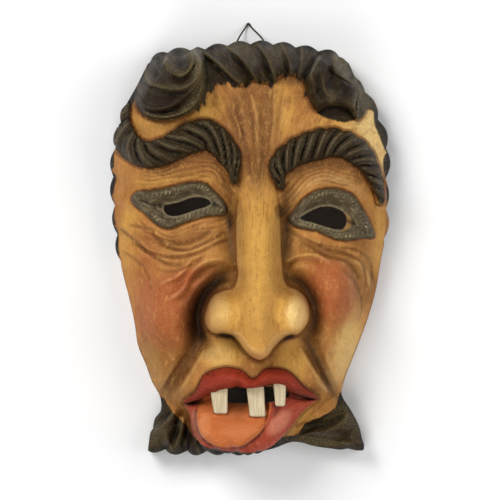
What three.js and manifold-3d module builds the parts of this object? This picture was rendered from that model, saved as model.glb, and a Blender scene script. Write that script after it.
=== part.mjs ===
// A carved and painted wooden carnival mask, lying on its back rim with the face up: a hollow shell of
// lime wood with rolled curls, rope-like brows, a big hooked nose, a lolling tongue and eye and mouth
// openings, three wooden teeth set under the upper lip, and a bent wire to hang it by.
// Millimetres. +X is to the viewer's right, +Y towards the crown, +Z out of the face.
// The back rim lies at Z = 0.
import * as THREE from "three";
import { mergeVertices } from "three/addons/utils/BufferGeometryUtils.js";
import Module from "manifold-3d";

const wasm = await Module();
wasm.setup();

// Driving dimensions.
const SIDE_WALL = 16; // height of the upright edge round the rim
const WALL = 10; // thickness of the carved shell
const HAIR_BASE = 27; // height of the hair below the jaw
const EYE_SOCKET = 7; // how deep the eyes sit in the face
const LID_RISE = 8; // how far the lids stand out of the sockets
const BROW_RISE = 11;
const HAIR_RISE = 2.5; // how far the hair stands over the forehead, under its rolls
const FIT_GAP = 0.3; // clearance round each tooth

// How finely the wood is faceted, across and along.
const SKIN = { cells: [47, 65], settling: 26 };
const HOLLOW = { cells: [14, 20], settling: 4 };
const WALL_ROWS = 2;
const THROUGH = [-1, 120]; // heights between which a cutter passes right through the mask

// Small helpers for carving.
const clamp01 = (t) => Math.min(1, Math.max(0, t));
const ease = (from, to, v) => {
  const t = clamp01((v - from) / (to - from));
  return t * t * (3 - 2 * t);
};
const mix = (a, b, t) => a + (b - a) * t;
const smoothMax = (a, b, soft) => {
  const h = Math.max(soft - Math.abs(a - b), 0) / soft;
  return Math.max(a, b) + (h * h * soft) / 4;
};

// Reads a value off a smooth run of [place, value] pairs.
function profile(pairs) {
  return (at) => {
    const last = pairs.length - 1;
    if (at <= pairs[0][0]) return pairs[0][1];
    if (at >= pairs[last][0]) return pairs[last][1];
    const i = pairs.findIndex((p) => p[0] > at) - 1;
    const [a, b] = [pairs[i], pairs[i + 1]];
    return mix(a[1], b[1], ease(a[0], b[0], at));
  };
}

// A line drawn on the front of the mask, open or closed, through a few points.
const REACH = 24; // beyond this a line has no say
class Line {
  constructor(points, { closed = false, steps = 5 } = {}) {
    const through = points.map(([x, y]) => new THREE.Vector3(x, y, 0));
    const curve = new THREE.CatmullRomCurve3(through, closed, "centripetal");
    const spaced = curve.getSpacedPoints(steps * (points.length - (closed ? 0 : 1)));
    this.points = spaced.map((p) => [p.x, p.y]);
    this.length = curve.getLength();
    this.box = new THREE.Box2().setFromPoints(spaced.map((p) => new THREE.Vector2(p.x, p.y)));
  }

  // The distance from a place to the line, how far along it that is from 0 to 1, and the side it lies on.
  near(x, y) {
    const p = this.points;
    let best = { away: Infinity, along: 0, side: 1, depth: -Infinity };
    if (this.box.distanceToPoint(new THREE.Vector2(x, y)) > REACH) return best;
    let inside = false;
    for (let i = 0; i + 1 < p.length; i += 1) {
      const [ax, ay] = p[i];
      const [bx, by] = p[i + 1];
      const [dx, dy] = [bx - ax, by - ay];
      const t = clamp01(((x - ax) * dx + (y - ay) * dy) / (dx * dx + dy * dy));
      const away = Math.hypot(x - ax - t * dx, y - ay - t * dy);
      if (away < best.away) {
        const side = dx * (y - ay) - dy * (x - ax) > 0 ? 1 : -1;
        best = { away, along: (i + t) / (p.length - 1), side };
      }
      if (ay > y !== by > y && x < ax + ((y - ay) * dx) / dy) inside = !inside;
    }
    best.depth = inside ? best.away : -best.away; // how far inside a closed line
    return best;
  }

  at(along) {
    const p = this.points;
    const f = clamp01(along) * (p.length - 1);
    const i = Math.min(p.length - 2, Math.floor(f));
    return [mix(p[i][0], p[i + 1][0], f - i), mix(p[i][1], p[i + 1][1], f - i)];
  }
}

// How far out a place is on a turned ellipse: 0 in the middle and 1 on its edge, squared.
function turned(x, y, at, size, turn) {
  const a = THREE.MathUtils.degToRad(turn);
  const [dx, dy] = [x - at[0], y - at[1]];
  const u = (dx * Math.cos(a) + dy * Math.sin(a)) / size[0];
  const v = (dy * Math.cos(a) - dx * Math.sin(a)) / size[1];
  return u * u + v * v;
}

// A smooth swelling, or a hollow when rise is negative, on an ellipse that may be turned.
function mound(x, y, { at, size, turn = 0, rise }) {
  const d = turned(x, y, at, size, turn);
  return d < 1 ? rise * (1 - d) * (1 - d) : 0;
}

// The rise of a rounded ridge, from 1 on its middle to 0 at its edge.
const rounded = (across) => (across < 1 ? Math.sqrt(1 - across * across) : 0);

// The rise of a cushion with rounded edges, by how far a place lies inside its edge.
const cushion = (depth, edge) => {
  const t = clamp01(depth / edge);
  return Math.sqrt(1 - (1 - t) * (1 - t));
};

// The outline of the whole mask, in four sides from the lower left corner, clockwise.
const LEFT_SIDE = [
  [-67, -132], [-65, -120], [-58.5, -107], [-59, -97], [-64, -88], [-68, -77], [-73.5, -64], [-75.5, -50],
  [-79, -34], [-84, -14], [-87.5, 6], [-89.5, 28], [-90.5, 46], [-89.5, 62], [-86.5, 78], [-81, 94],
  [-74, 107], [-67, 121],
];
const TOP_SIDE = [
  [-67, 121], [-57, 128], [-44, 130], [-30, 131], [-14, 133.5], [1, 134.5], [17, 134], [32, 132],
  [46, 129.5], [57, 127], [65, 121],
];
const RIGHT_SIDE = [
  [65, 121], [70, 110], [76, 103], [81, 94], [85, 84], [89, 73], [90.5, 58], [89.5, 40],
  [90, 22], [88.5, 6], [85.5, -10], [82.5, -28], [78, -44], [73, -58], [67.5, -72], [62, -86],
  [60, -96], [66, -106], [72, -118], [74, -132],
];
const BOTTOM_SIDE = [
  [74, -132], [58, -132], [42, -130], [29, -127], [14, -132], [0, -134], [-22, -134], [-45, -134],
  [-67, -132],
];
const sides = [LEFT_SIDE, TOP_SIDE, RIGHT_SIDE, BOTTOM_SIDE].map((side) => new Line(side));
const around = [...LEFT_SIDE, ...TOP_SIDE.slice(1), ...RIGHT_SIDE.slice(1), ...BOTTOM_SIDE.slice(1, -1)];
const outline = new Line(around, { closed: true, steps: 3 });

// The face ends at the jaw and under the lip, and the hair below it lies lower.
const face = new Line(
  [
    ...LEFT_SIDE.slice(3), ...TOP_SIDE.slice(1), ...RIGHT_SIDE.slice(1, 17),
    [48, -107], [34, -120], [20, -129], [0, -132], [-20, -132], [-37, -124], [-46, -112],
  ],
  { closed: true, steps: 3 },
);

const crown = profile([[-132, 40], [-112, 47], [-85, 53], [0, 53], [40, 55], [75, 57], [105, 53], [135, 46]]);
const faceEdge = profile([[-130, 20], [-90, 27], [-20, 32], [60, 31], [110, 27]]);

// The plain dome of the head, with the hair mass under the jaw.
function head(x, y) {
  const inFace = face.near(x, y).depth;
  const top = crown(y) * (1 - 0.16 * (x / 90) ** 2);
  const roll = 1 - Math.pow(1 - clamp01(inFace / faceEdge(y)), 2.3);
  const skull = inFace > 0 ? mix(SIDE_WALL, top, roll) : SIDE_WALL + 1.5 * inFace;
  const inHair = outline.near(x, y).depth;
  const hair = mix(SIDE_WALL, HAIR_BASE, 1 - Math.pow(1 - clamp01(inHair / 13), 2.3));
  return smoothMax(skull, hair, 3);
}

// The nose: its plan on the face and, by the place up the face, the height of its ridge over the skin, how
// far its flanks drop from the ridge and how wide its rounded edge is.
const nosePlan = new Line(
  [
    [-5, 46], [-8, 30], [-9.6, 8], [-8.8, -9], [-8.4, -18], [-11, -25.5], [-18.2, -27.5], [-24.4, -31],
    [-28.6, -39], [-30, -46.8], [-28, -52], [-18.2, -56.2], [-11.7, -56.8], [-7.8, -60], [-3.9, -65.6],
    [0.7, -70.2], [6.2, -72.4], [11.7, -70.2], [15.6, -64.4], [20.8, -59], [31.2, -56], [35.2, -52.6],
    [38.4, -46.4], [39, -40], [36.6, -32], [31, -27], [24.4, -24], [21.8, -18], [21, -9], [20, 15],
    [18.5, 30], [15, 46],
  ],
  { closed: true, steps: 2 },
);
const noseRidge = profile([[-72, 33], [-64, 38], [-52, 42], [-24, 33], [6, 21], [38, 4], [56, 0]]);
const noseDrop = profile([[-72, 5], [-60, 9], [-48, 20], [-30, 17], [-8, 8], [30, 2]]);
const noseEdge = profile([[-68, 5], [-57, 5], [-46, 9], [-28, 11], [-8, 12], [30, 13]]);
const RIDGE_X = 5.4;
const WINGS = [
  { at: [-19, -42], size: [15, 17], rise: 11 },
  { at: [29.5, -41.5], size: [15, 17], rise: 11 },
];
const NOSTRILS = [
  { at: [-15.8, -57.2, 66], size: [5.5, 4, 6] },
  { at: [26.5, -57.5, 66], size: [5.5, 4, 6] },
];

function nose(x, y, skin) {
  const depth = nosePlan.near(x, y).depth;
  if (depth <= 0) return skin;
  const half = mix(13.5, 10.5, ease(-50, -66, y));
  const off = 1 - Math.exp(-(((x - RIDGE_X) / half) ** 2));
  const top = WINGS.reduce((z, wing) => z + mound(x, y, wing), noseRidge(y) - noseDrop(y) * off);
  return skin + Math.max(0, top) * cushion(depth, noseEdge(y));
}

// Swellings and hollows of the face.
const MOUNDS = [
  { at: [-41, 28], size: [44, 26], turn: 6, rise: -EYE_SOCKET }, // left eye socket
  { at: [52, 20], size: [40, 29], turn: -12, rise: -EYE_SOCKET }, // right eye socket
  { at: [4, 66], size: [24, 44], rise: 4 }, // frown between the brows
  { at: [-55, -42], size: [26, 36], turn: -20, rise: 12 }, // left cheek
  { at: [-56, -47], size: [5, 5], rise: -3 }, // its dimple
  { at: [-60, -82], size: [17, 24], rise: 6 }, // left jowl
  { at: [54, -28], size: [23, 32], turn: 8, rise: 13 }, // right cheek
  { at: [55, -76], size: [16, 26], turn: -14, rise: 6 }, // right jowl
  { at: [2, -86], size: [48, 34], rise: 11 }, // muzzle
];

// Furrows, each with its half width and its depth.
const furrow = (half, depth, points) => ({ line: new Line(points), half, depth });
const FURROWS = [
  // from the nose down past the corners of the mouth
  furrow(5.5, 13, [[-10, -16], [-18, -18], [-27, -26], [-32, -34], [-35, -44], [-34, -53], [-31, -60]]),
  furrow(5.5, 6, [[-33, -52], [-36.5, -64], [-42, -76], [-48.5, -88], [-54, -98]]),
  furrow(5.5, 11, [[22, -15], [30, -20], [37.5, -27], [42.5, -37], [42.5, -47.5], [39, -56]]),
  furrow(5, 5, [[37, -56], [41, -66], [45.5, -77], [50.5, -88], [56, -98]]),
  // between each eye and the nose
  furrow(6, 6, [[-17, 36], [-15, 16], [-12, -4]]),
  furrow(6, 6, [[26, 32], [24, 12], [22, -8]]),
  // over and beside the cheeks
  furrow(4, 4, [[-24, -14], [-42, -21], [-56, -31]]),
  furrow(4, 3.5, [[24, -10], [38, -1], [52, -4]]),
  furrow(4, 4, [[64, -9], [70, -22], [72, -36]]),
  // bags under the eyes
  furrow(4, 3, [[-64, 5], [-44, 3], [-26, 9]]),
  furrow(4, 3, [[34, -1], [52, -5], [70, -2]]),
  // frown lines
  furrow(3.5, 3, [[-3, 96], [-1, 74], [1, 52]]),
  furrow(3.5, 3, [[9, 98], [9, 76], [10, 54]]),
  // under the nose
  furrow(5, 4, [[4, -70], [3, -80]]),
  // between the locks below the jaw
  furrow(3, 6, [[-46, -108], [-48, -120], [-58, -135]]),
  furrow(3, 6, [[-44, -109], [-40, -120], [-42, -136]]),
  furrow(3, 6, [[32, -116], [44, -115], [53, -113.5], [64, -106]]),
  furrow(3, 6, [[33, -121], [45, -125.5], [57, -126], [70, -119]]),
];

// A crest along a line, rising sharply beside a narrow valley on one side and falling away slowly.
const crest = (side, rise, run, dip, lip, points) => ({ line: new Line(points), side, rise, run, dip, lip });

function crestHeight(x, y, { line, side: raisedSide, rise, run, dip, lip }) {
  const { away, along, side } = line.near(x, y);
  if (away > REACH) return 0;
  const fade = ease(0, 0.15, along) * ease(1, 0.85, along) * ease(22, 16, away);
  if (side !== raisedSide) return -fade * dip * Math.exp(-((away / 2.4) ** 2));
  return fade * mix(-dip, rise, ease(0, lip, away)) * Math.exp(-Math.max(away - lip, 0) / run);
}

const SKIN_CRESTS = [
  // over the cheeks
  crest(-1, 3.4, 7, 2, 4.5, [[-10, -14], [-24, -12], [-35.8, -20.8], [-43.6, -31.9], [-58, -39.7]]),
  crest(1, 2.8, 6, 2.2, 4, [[22.5, -19], [26.7, -11.7], [32.5, -8.5], [40.3, -7.5], [53, -15]]),
  // beside the muzzle
  crest(1, 2.2, 9, 2.2, 4, [[-29, -59], [-40.3, -78], [-52, -96]]),
  crest(-1, 2.2, 9, 3, 2.8, [[32, -60], [42.9, -77.4], [54.6, -96.2]]),
];

// The eyes: dark lids round a slot.
const EYES = [
  {
    lids: [[-77, 32], [-60, 38.5], [-34, 43], [-20, 35], [-14.5, 23], [-30, 20], [-51, 13], [-66, 20.5]],
    slot: { at: [-41, 26.5], long: 32, high: 9, turn: 14 },
  },
  {
    lids: [[25, 18], [36, 33], [54, 39], [68, 32], [76, 20], [81, 7], [64, 5], [44, 10]],
    slot: { at: [49.5, 19.5], long: 31, high: 13, turn: -6 },
  },
].map(({ lids, slot }) => ({ lids: new Line(lids, { closed: true }), slot }));

// The brows: thick ropes of hair, each a row of slanting strands.
const BROWS = [
  {
    line: new Line([
      [-83, 92], [-84, 80], [-79, 67], [-67, 60.5], [-53, 63.5], [-40, 70.5], [-28, 73], [-18, 66],
      [-11.5, 55], [-10, 44],
    ]),
    half: profile([[0, 5], [0.2, 8.5], [0.45, 9], [0.65, 10.5], [0.85, 8], [1, 3]]),
    strands: 11,
  },
  {
    line: new Line([
      [20, 40], [19, 51], [27, 60], [40, 65.5], [54, 68], [65, 65], [74, 58], [80, 49], [84, 39], [85.5, 31],
    ]),
    half: profile([[0, 3], [0.15, 8], [0.4, 9.8], [0.65, 8.5], [0.85, 5], [1, 2.5]]),
    strands: 12,
  },
];
const STRAND_SHARE = 0.4; // how much of a brow's height its strands take

function brow(x, y, { line, half, strands }) {
  const { away, along, side } = line.near(x, y);
  const across = away / half(along);
  if (across >= 1) return 0;
  const twist = strands * along + 0.7 * side * across;
  const strand = Math.sqrt(Math.abs(Math.sin(Math.PI * twist)));
  return BROW_RISE * rounded(across) * (1 - STRAND_SHARE + STRAND_SHARE * strand);
}

// The mouth: two lips, and the tongue lolling over the lower one.
const upperLip = new Line(
  [
    [-44, -101], [-36, -93], [-30, -82], [-16, -77], [-5, -79], [2, -84], [10, -78], [24, -79], [36, -90],
    [45, -98.5], [34, -95], [17, -89], [2, -92.5], [-10, -90.5], [-26, -93], [-38, -99],
  ],
  { closed: true, steps: 3 },
);
const lowerLip = new Line(
  [
    [-43, -101.5], [-39.5, -108], [-37.5, -120.5], [-29, -129], [-16, -131.5], [4, -132.5], [14, -129],
    [26, -117], [35, -106], [44, -98.5], [20, -94], [-10, -94],
  ],
  { closed: true, steps: 3 },
);
const tongue = new Line(
  [
    [-32, -102], [-35, -111], [-33.5, -121], [-26, -127], [-15, -129], [-4, -127.5], [6, -120.5], [12, -109],
    [13, -101], [-10, -95],
  ],
  { closed: true },
);
const tongueTop = profile([[-129, 65], [-120, 66], [-108, 60], [-99, 52]]);
const MOUTH = { at: [-1, -95.5], long: 56, high: 11, turn: 2 };

// Each lip is a roll that bends back towards the corners of the mouth.
const UPPER_LIP = { base: 60, bend: 0.008, rise: 14, edge: 8 };
const LOWER_LIP = { base: 48, bend: 0.006, rise: 13, edge: 12 };
const lipHeight = ({ base, bend, rise, edge }, x, depth) => base - bend * x * x + rise * cushion(depth, edge);
const MOUTH_FLOOR = 50;
const TONGUE_EDGE = { drop: 6, width: 5 };

function mouth(x, y, skin) {
  let z = skin;
  const lower = lowerLip.near(x, y).depth;
  if (lower > 0) z = Math.max(mix(z, MOUTH_FLOOR, ease(0, 8, lower)), lipHeight(LOWER_LIP, x, lower));
  const upper = upperLip.near(x, y).depth;
  if (upper > 0) z = smoothMax(z, lipHeight(UPPER_LIP, x, upper), 3);
  const lolling = tongue.near(x, y).depth;
  if (lolling > 0) {
    const top = tongueTop(y) - TONGUE_EDGE.drop * (1 - cushion(lolling, TONGUE_EDGE.width));
    z = Math.max(mix(z, MOUTH_FLOOR, ease(0, 4, lolling)), top);
  }
  return z;
}

// The hair over the forehead: a row of rolls, each laid over the one on its left.
const ROLLS = [
  crest(1, 6.5, 8, 2.5, 2.8, [[-41, 131], [-29, 123.8], [-20.2, 115.5], [-12, 108], [-3.5, 101]]),
  crest(1, 7, 8, 2.5, 2.8, [[-21, 134], [-13, 127.4], [-5.5, 119], [0.5, 110], [5, 101]]),
  crest(1, 6.5, 8, 2.5, 2.8, [[0, 136], [6.5, 127.4], [11, 118], [14, 109], [15, 101]]),
  crest(1, 4.5, 7, 2, 2.8, [[16, 137], [21, 127], [24, 117], [25, 106]]),
  crest(1, 3, 7, 1.5, 2.8, [[31, 136], [31.5, 126], [30, 114], [28, 106]]),
  crest(1, 3, 6, 2, 2.4, [[50, 131], [43, 124], [38.5, 116], [36, 107]]),
];
const hairline = new Line(
  [
    [-34, 90], [-26, 101], [-18.5, 107], [-7, 104.5], [6, 108], [13, 105], [20, 111], [28, 112], [34, 107],
    [38, 97], [60, 130], [30, 160], [-30, 160], [-70, 130],
  ],
  { closed: true },
);
// The two big curls on the temples, each built of tiers that step up and out round a scooped face.
const tier = (rise, scoop, points) => ({ line: new Line(points, { closed: true, steps: 3 }), rise, scoop });
const TIER_EDGE = 4.5;
const CURL_TIERS = [
  // left curl, from its foot to its top, and the eye of its spiral
  tier(11, 1.4, [
    [-75.4, 106.6], [-74.1, 91.7], [-69.6, 86.1], [-63.7, 82.9], [-46.8, 83.5], [-39, 87.1], [-33.2, 92.3],
    [-28.6, 106.6], [-29.9, 122.2], [-39, 137.5], [-65, 137.5], [-77, 124],
  ]),
  tier(9, 4, [
    [-74.6, 99.5], [-71.3, 92.8], [-66.8, 89.6], [-53.4, 88.9], [-46.7, 92], [-35.5, 102], [-29.8, 114],
    [-33.7, 126], [-45.5, 138], [-65, 138], [-76, 118],
  ]),
  tier(10, 4.4, [
    [-69.6, 122.2], [-70.2, 115.7], [-65, 105], [-53.3, 101.2], [-41, 101.5], [-31.9, 109.2], [-30, 122.2],
    [-38, 134.5], [-52, 138.5], [-65, 133],
  ]),
  tier(-3.5, 0, [[-65.5, 122], [-66, 114], [-62, 108], [-58, 111], [-57.5, 119], [-59, 127], [-63, 128]]),
  tier(6, 1.5, [
    [-56.5, 128.7], [-57.2, 123.5], [-53.3, 114.4], [-44.2, 109.5], [-36.4, 116.4], [-35.1, 121.6],
    [-40.3, 130.3], [-53.3, 133],
  ]),
  tier(-5, 0, [[-49, 119.5], [-46, 123.5], [-41.5, 123], [-40.5, 118.5], [-44.5, 115.8]]),
  // right curl, the arch across it and the lock beside it
  tier(12, 1.5, [
    [48.8, 134], [42.3, 120.9], [35.1, 108.6], [35.8, 101.4], [43.6, 87.8], [52.7, 91.7], [59.2, 91],
    [65, 88.4], [69.6, 83.2], [71.5, 99.5], [70.9, 109.9], [68, 122], [62.4, 136],
  ]),
  tier(6, 1.5, [
    [52.9, 114.9], [56.9, 111], [62.9, 108.3], [69.2, 99.6], [70.9, 109.9], [67, 121], [62.4, 132],
    [57.2, 130], [54.3, 123.5],
  ]),
  tier(-2.5, 0, [[52, 112], [50, 104], [54, 97], [61, 97], [66, 102], [60, 107]]),
  tier(7, 1, [[70.9, 109.9], [76.8, 105.6], [83.5, 89.1], [76.1, 90.4], [69.6, 83.2], [69, 92], [70, 102]]),
];
const HAIR_CRESTS = [
  // the parting of the right curl
  crest(1, 3.4, 6, 2.4, 2.4, [[50, 130], [45.5, 121], [43.9, 111.8], [44.5, 102.7], [50.7, 91.5]]),
  // the left lock under the jaw
  crest(-1, 4, 8, 3, 2.4, [[-47, -108], [-41.6, -110.5], [-41.6, -118.3], [-43.6, -125.5], [-47.5, -134]]),
  crest(1, 3, 6, 2, 2.4, [[-50, -105], [-55.9, -111.8], [-61.7, -117], [-67.5, -121]]),
  // the right lock under the jaw
  crest(1, 4.2, 6, 3, 2.4, [[62, -103], [59.5, -111], [50.7, -116.4], [40.3, -118.3], [31, -121.5]]),
  crest(1, 3.2, 6, 2.4, 2.4, [[74, -124], [61.7, -125.5], [48.1, -124.2], [34.5, -121.6]]),
];

function curlTier(x, y, { line, rise, scoop }) {
  const depth = line.near(x, y).depth;
  return rise * cushion(depth, TIER_EDGE) - scoop * ease(TIER_EDGE, TIER_EDGE + 7, depth);
}

// The height of the carved front over the rim.
function front(x, y) {
  let z = head(x, y);
  for (const form of MOUNDS) z += mound(x, y, form);
  for (const { line, half, depth } of FURROWS) {
    const { away, along } = line.near(x, y);
    z -= depth * Math.exp(-((away / half) ** 2)) * Math.sqrt(Math.sin(Math.PI * mix(0.1, 0.97, along)));
  }
  for (const shape of SKIN_CRESTS) z += crestHeight(x, y, shape);
  for (const { lids, slot } of EYES) {
    const band = cushion(lids.near(x, y).depth, 6);
    const bowl = Math.exp(-turned(x, y, slot.at, [slot.long / 1.6, slot.high / 1.5], slot.turn));
    z += band * (LID_RISE - 4 * bowl);
  }
  z = nose(x, y, z);
  z += Math.max(...BROWS.map((shape) => brow(x, y, shape)));
  z = mouth(x, y, z);
  const edgeFade = ease(0, 10, outline.near(x, y).depth);
  const rolls = ROLLS.reduce((sum, roll) => sum + crestHeight(x, y, roll), 0);
  z += cushion(hairline.near(x, y).depth, 5) * (HAIR_RISE + rolls * edgeFade);
  for (const shape of CURL_TIERS) z += curlTier(x, y, shape) * edgeFade;
  for (const shape of HAIR_CRESTS) z += crestHeight(x, y, shape) * edgeFade;
  return z;
}

// The locks round the edge swell outwards in a row of scallops.
const SCALLOPS = [
  { from: 8, to: 28, pitch: 18, out: 2.6 }, // lock below the left jaw
  { from: 88, to: 236, pitch: 19, out: 2.6 }, // left side
  { from: 262, to: 400, pitch: 15, out: 2.6 }, // over the forehead
  { from: 410, to: 590, pitch: 20, out: 2.6 }, // right side
  { from: 660, to: 690, pitch: 26, out: 2 }, // lock below the right jaw
  { from: 735, to: 838, pitch: 14, out: 3 }, // along the foot
];

function scallop(x, y, z) {
  const { depth, along } = outline.near(x, y);
  const place = along * outline.length;
  const row = SCALLOPS.find(({ from, to }) => place >= from && place <= to);
  if (!row) return 0;
  const ends = ease(0, 8, place - row.from) * ease(0, 8, row.to - place);
  const lean = (place < 300 ? 0.25 : -0.25) * z;
  const swell = Math.abs(Math.sin((Math.PI * (place + lean)) / row.pitch)) - 0.35;
  return row.out * swell * ends * ease(14, 5, depth);
}

// Spreads the points of the front evenly over the carved surface, so that steep walls get their share.
const ATTRACT = (x, y) => 1 + ease(95, 40, Math.hypot(x * 1.3, y + 45)) + 0.6 * ease(60, 90, y);

function spread(cells, edges, height, rounds) {
  const [nx, ny] = cells;
  const [left, top, right, bottom] = edges;
  const grid = [];
  for (let i = 0; i <= nx; i += 1) {
    grid.push([]);
    for (let j = 0; j <= ny; j += 1) {
      const [u, v] = [i / nx, j / ny];
      const [l, r, t, b] = [left.at(v), right.at(1 - v), top.at(u), bottom.at(1 - u)];
      const foot = [0, 1].map((k) => mix(left.at(0)[k], right.at(1)[k], u));
      const brink = [0, 1].map((k) => mix(left.at(1)[k], right.at(0)[k], u));
      const place = [0, 1].map((k) => mix(l[k], r[k], u) + mix(b[k], t[k], v) - mix(foot[k], brink[k], v));
      grid[i].push([...place, height(...place)]);
    }
  }
  const pull = [[1, 0], [-1, 0], [0, 1], [0, -1]];
  for (let round = 0; round < rounds; round += 1) {
    const before = grid.map((row) => row.map((p) => [...p]));
    for (let i = 1; i < nx; i += 1) {
      for (let j = 1; j < ny; j += 1) {
        const p = before[i][j];
        const sum = [0, 0];
        let weight = 0;
        for (const [di, dj] of pull) {
          const q = before[i + di][j + dj];
          const long = Math.hypot(p[0] - q[0], p[1] - q[1], p[2] - q[2]);
          const w = long * ATTRACT((p[0] + q[0]) / 2, (p[1] + q[1]) / 2);
          weight += w;
          sum[0] += w * q[0];
          sum[1] += w * q[1];
        }
        const x = mix(p[0], sum[0] / weight, 0.6);
        const y = mix(p[1], sum[1] / weight, 0.6);
        grid[i][j] = [x, y, height(x, y)];
      }
    }
  }
  return grid;
}

// Moves each point of the grid out along the surface's own normal by the swell of the locks there.
function raised(grid) {
  const [nx, ny] = [grid.length - 1, grid[0].length - 1];
  const at = (i, j) => new THREE.Vector3(...grid[Math.min(nx, Math.max(0, i))][Math.min(ny, Math.max(0, j))]);
  return grid.map((row, i) =>
    row.map((p, j) => {
      const across = at(i + 1, j).sub(at(i - 1, j));
      const up = at(i, j + 1).sub(at(i, j - 1));
      const edge = i === 0 || j === 0 || i === nx || j === ny;
      const normal = across.cross(up).normalize();
      if (edge) normal.setZ(0).normalize();
      return new THREE.Vector3(...p).addScaledVector(normal, scallop(...p));
    }),
  );
}

// A closed block whose front is the grid, with upright sides and a flat back.
function block(cells, rows, place) {
  const shape = new THREE.BoxGeometry(1, 1, 1, cells[0], cells[1], rows);
  const p = shape.getAttribute("position");
  for (let n = 0; n < p.count; n += 1) {
    const i = Math.round((p.getX(n) + 0.5) * cells[0]);
    const j = Math.round((p.getY(n) + 0.5) * cells[1]);
    const k = Math.round((p.getZ(n) + 0.5) * rows);
    p.setXYZ(n, ...place(i, j, k));
  }
  settleDiagonals(shape);
  return shape;
}

// Turns the diagonal of each four-sided cell whichever way bends less, so that carved edges run clean.
function settleDiagonals(shape) {
  const index = shape.index.array;
  const point = (n) => new THREE.Vector3().fromBufferAttribute(shape.getAttribute("position"), n);
  const bend = (...corners) => {
    const [p, q, r, s] = corners.map(point);
    const one = q.clone().sub(p).cross(s.clone().sub(p)).normalize();
    const two = r.clone().sub(q).cross(s.clone().sub(q)).normalize();
    return one.dot(two);
  };
  for (let n = 0; n < index.length; n += 6) {
    const [a, b, d, , c] = index.slice(n, n + 6);
    if (bend(a, b, c, d) < bend(b, c, d, a)) index.set([b, c, a, c, d, a], n);
  }
}

// Between three.js geometry and a solid that can be cut and joined.
function solid(geometry) {
  const bare = geometry.clone();
  bare.deleteAttribute("normal");
  bare.deleteAttribute("uv");
  const merged = mergeVertices(bare, 1e-4);
  const vertProperties = merged.attributes.position.array;
  const triVerts = new Uint32Array(merged.index.array);
  return new wasm.Manifold(new wasm.Mesh({ numProp: 3, vertProperties, triVerts }));
}

function geometryOf(body) {
  const made = body.getMesh();
  const shape = new THREE.BufferGeometry();
  shape.setAttribute("position", new THREE.BufferAttribute(new Float32Array(made.vertProperties), 3));
  shape.setIndex(new THREE.BufferAttribute(new Uint32Array(made.triVerts), 1));
  shape.computeVertexNormals();
  return shape;
}

// The line of a side moved inwards, for the edge of the hollow.
function inset(side, by) {
  const p = side.points;
  const moved = p.map(([x, y], i) => {
    const a = p[Math.max(0, i - 1)];
    const b = p[Math.min(p.length - 1, i + 1)];
    const long = Math.hypot(b[0] - a[0], b[1] - a[1]);
    const ends = i === 0 || i === p.length - 1 ? 1 : 0;
    const along = ends * (i === 0 ? by : -by);
    const [tx, ty] = [(b[0] - a[0]) / long, (b[1] - a[1]) / long];
    return [x + ty * by + tx * along, y - tx * by + ty * along];
  });
  return new Line(moved.filter((_, i) => i % 6 === 0 || i === moved.length - 1));
}

// The roof of the hollow keeps the same distance from the carved front everywhere.
const BALL = [0, 0.6, 1].flatMap((r) =>
  (r ? [0, 1, 2, 3, 4, 5, 6, 7] : [0]).map((k) => [
    WALL * r * Math.cos((k * Math.PI) / 4),
    WALL * r * Math.sin((k * Math.PI) / 4),
    WALL * Math.sqrt(1 - r * r),
  ]),
);
const LOWEST_ROOF = 8;
const roof = (x, y) => {
  const reached = BALL.map(([dx, dy, down]) => front(x + dx, y + dy) - down);
  return Math.max(LOWEST_ROOF, Math.min(...reached));
};

// The uncut block: its back is drawn in so that few facets are left on the rim once it is hollowed.
const DRAWN_IN = 0.77;

function carvedBlock() {
  const skin = raised(spread(SKIN.cells, sides, front, SKIN.settling));
  const [nx, ny] = SKIN.cells;
  return solid(
    block(SKIN.cells, WALL_ROWS, (i, j, k) => {
      const p = skin[i][j];
      const inner = i > 0 && j > 0 && i < nx && j < ny;
      if (k === WALL_ROWS) return [p.x, p.y, p.z];
      return inner ? [p.x * DRAWN_IN, p.y * DRAWN_IN, 0] : [p.x, p.y, (p.z * k) / WALL_ROWS];
    }),
  );
}

function hollow() {
  const edges = sides.map((side) => inset(side, WALL));
  const top = spread(HOLLOW.cells, edges, roof, HOLLOW.settling);
  return solid(
    block(HOLLOW.cells, 1, (i, j, k) => {
      const [x, y, z] = top[i][j];
      return [x, y, k ? z : THROUGH[0]];
    }),
  );
}

// A straight-sided cutter through the face, on a slot that is pointed or rounded at its ends.
function slotCutter({ at, long, high, turn }) {
  const [from, to] = THROUGH;
  const shape = new THREE.Shape();
  shape.moveTo(-long / 2, 0);
  shape.quadraticCurveTo(-long / 4, high * 0.55, 0, high / 2);
  shape.quadraticCurveTo(long / 4, high * 0.55, long / 2, 0);
  shape.quadraticCurveTo(long / 4, -high * 0.55, 0, -high / 2);
  shape.quadraticCurveTo(-long / 4, -high * 0.55, -long / 2, 0);
  const depth = to - from;
  const cutter = new THREE.ExtrudeGeometry(shape, { depth, bevelEnabled: false, curveSegments: 4 });
  cutter.rotateZ((turn * Math.PI) / 180);
  cutter.translate(at[0], at[1], from);
  return solid(cutter);
}

// A tooth is a flat peg with a rounded lower edge, its root in a socket under the upper lip.
const TEETH = [
  { name: "tooth_left", at: [-18.9, -107], top: 13, bottom: 8.8, lean: -1.9, root: -82 },
  { name: "tooth_middle", at: [5, -109], top: 11.4, bottom: 10.2, lean: -2, root: -86.5 },
  { name: "tooth_right", at: [19.5, -102.3], top: 9.4, bottom: 6.2, lean: -0.3, root: -82 },
];
const TOOTH_BACK = 57.3;
const TOOTH_THICK = 6.2;

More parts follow.
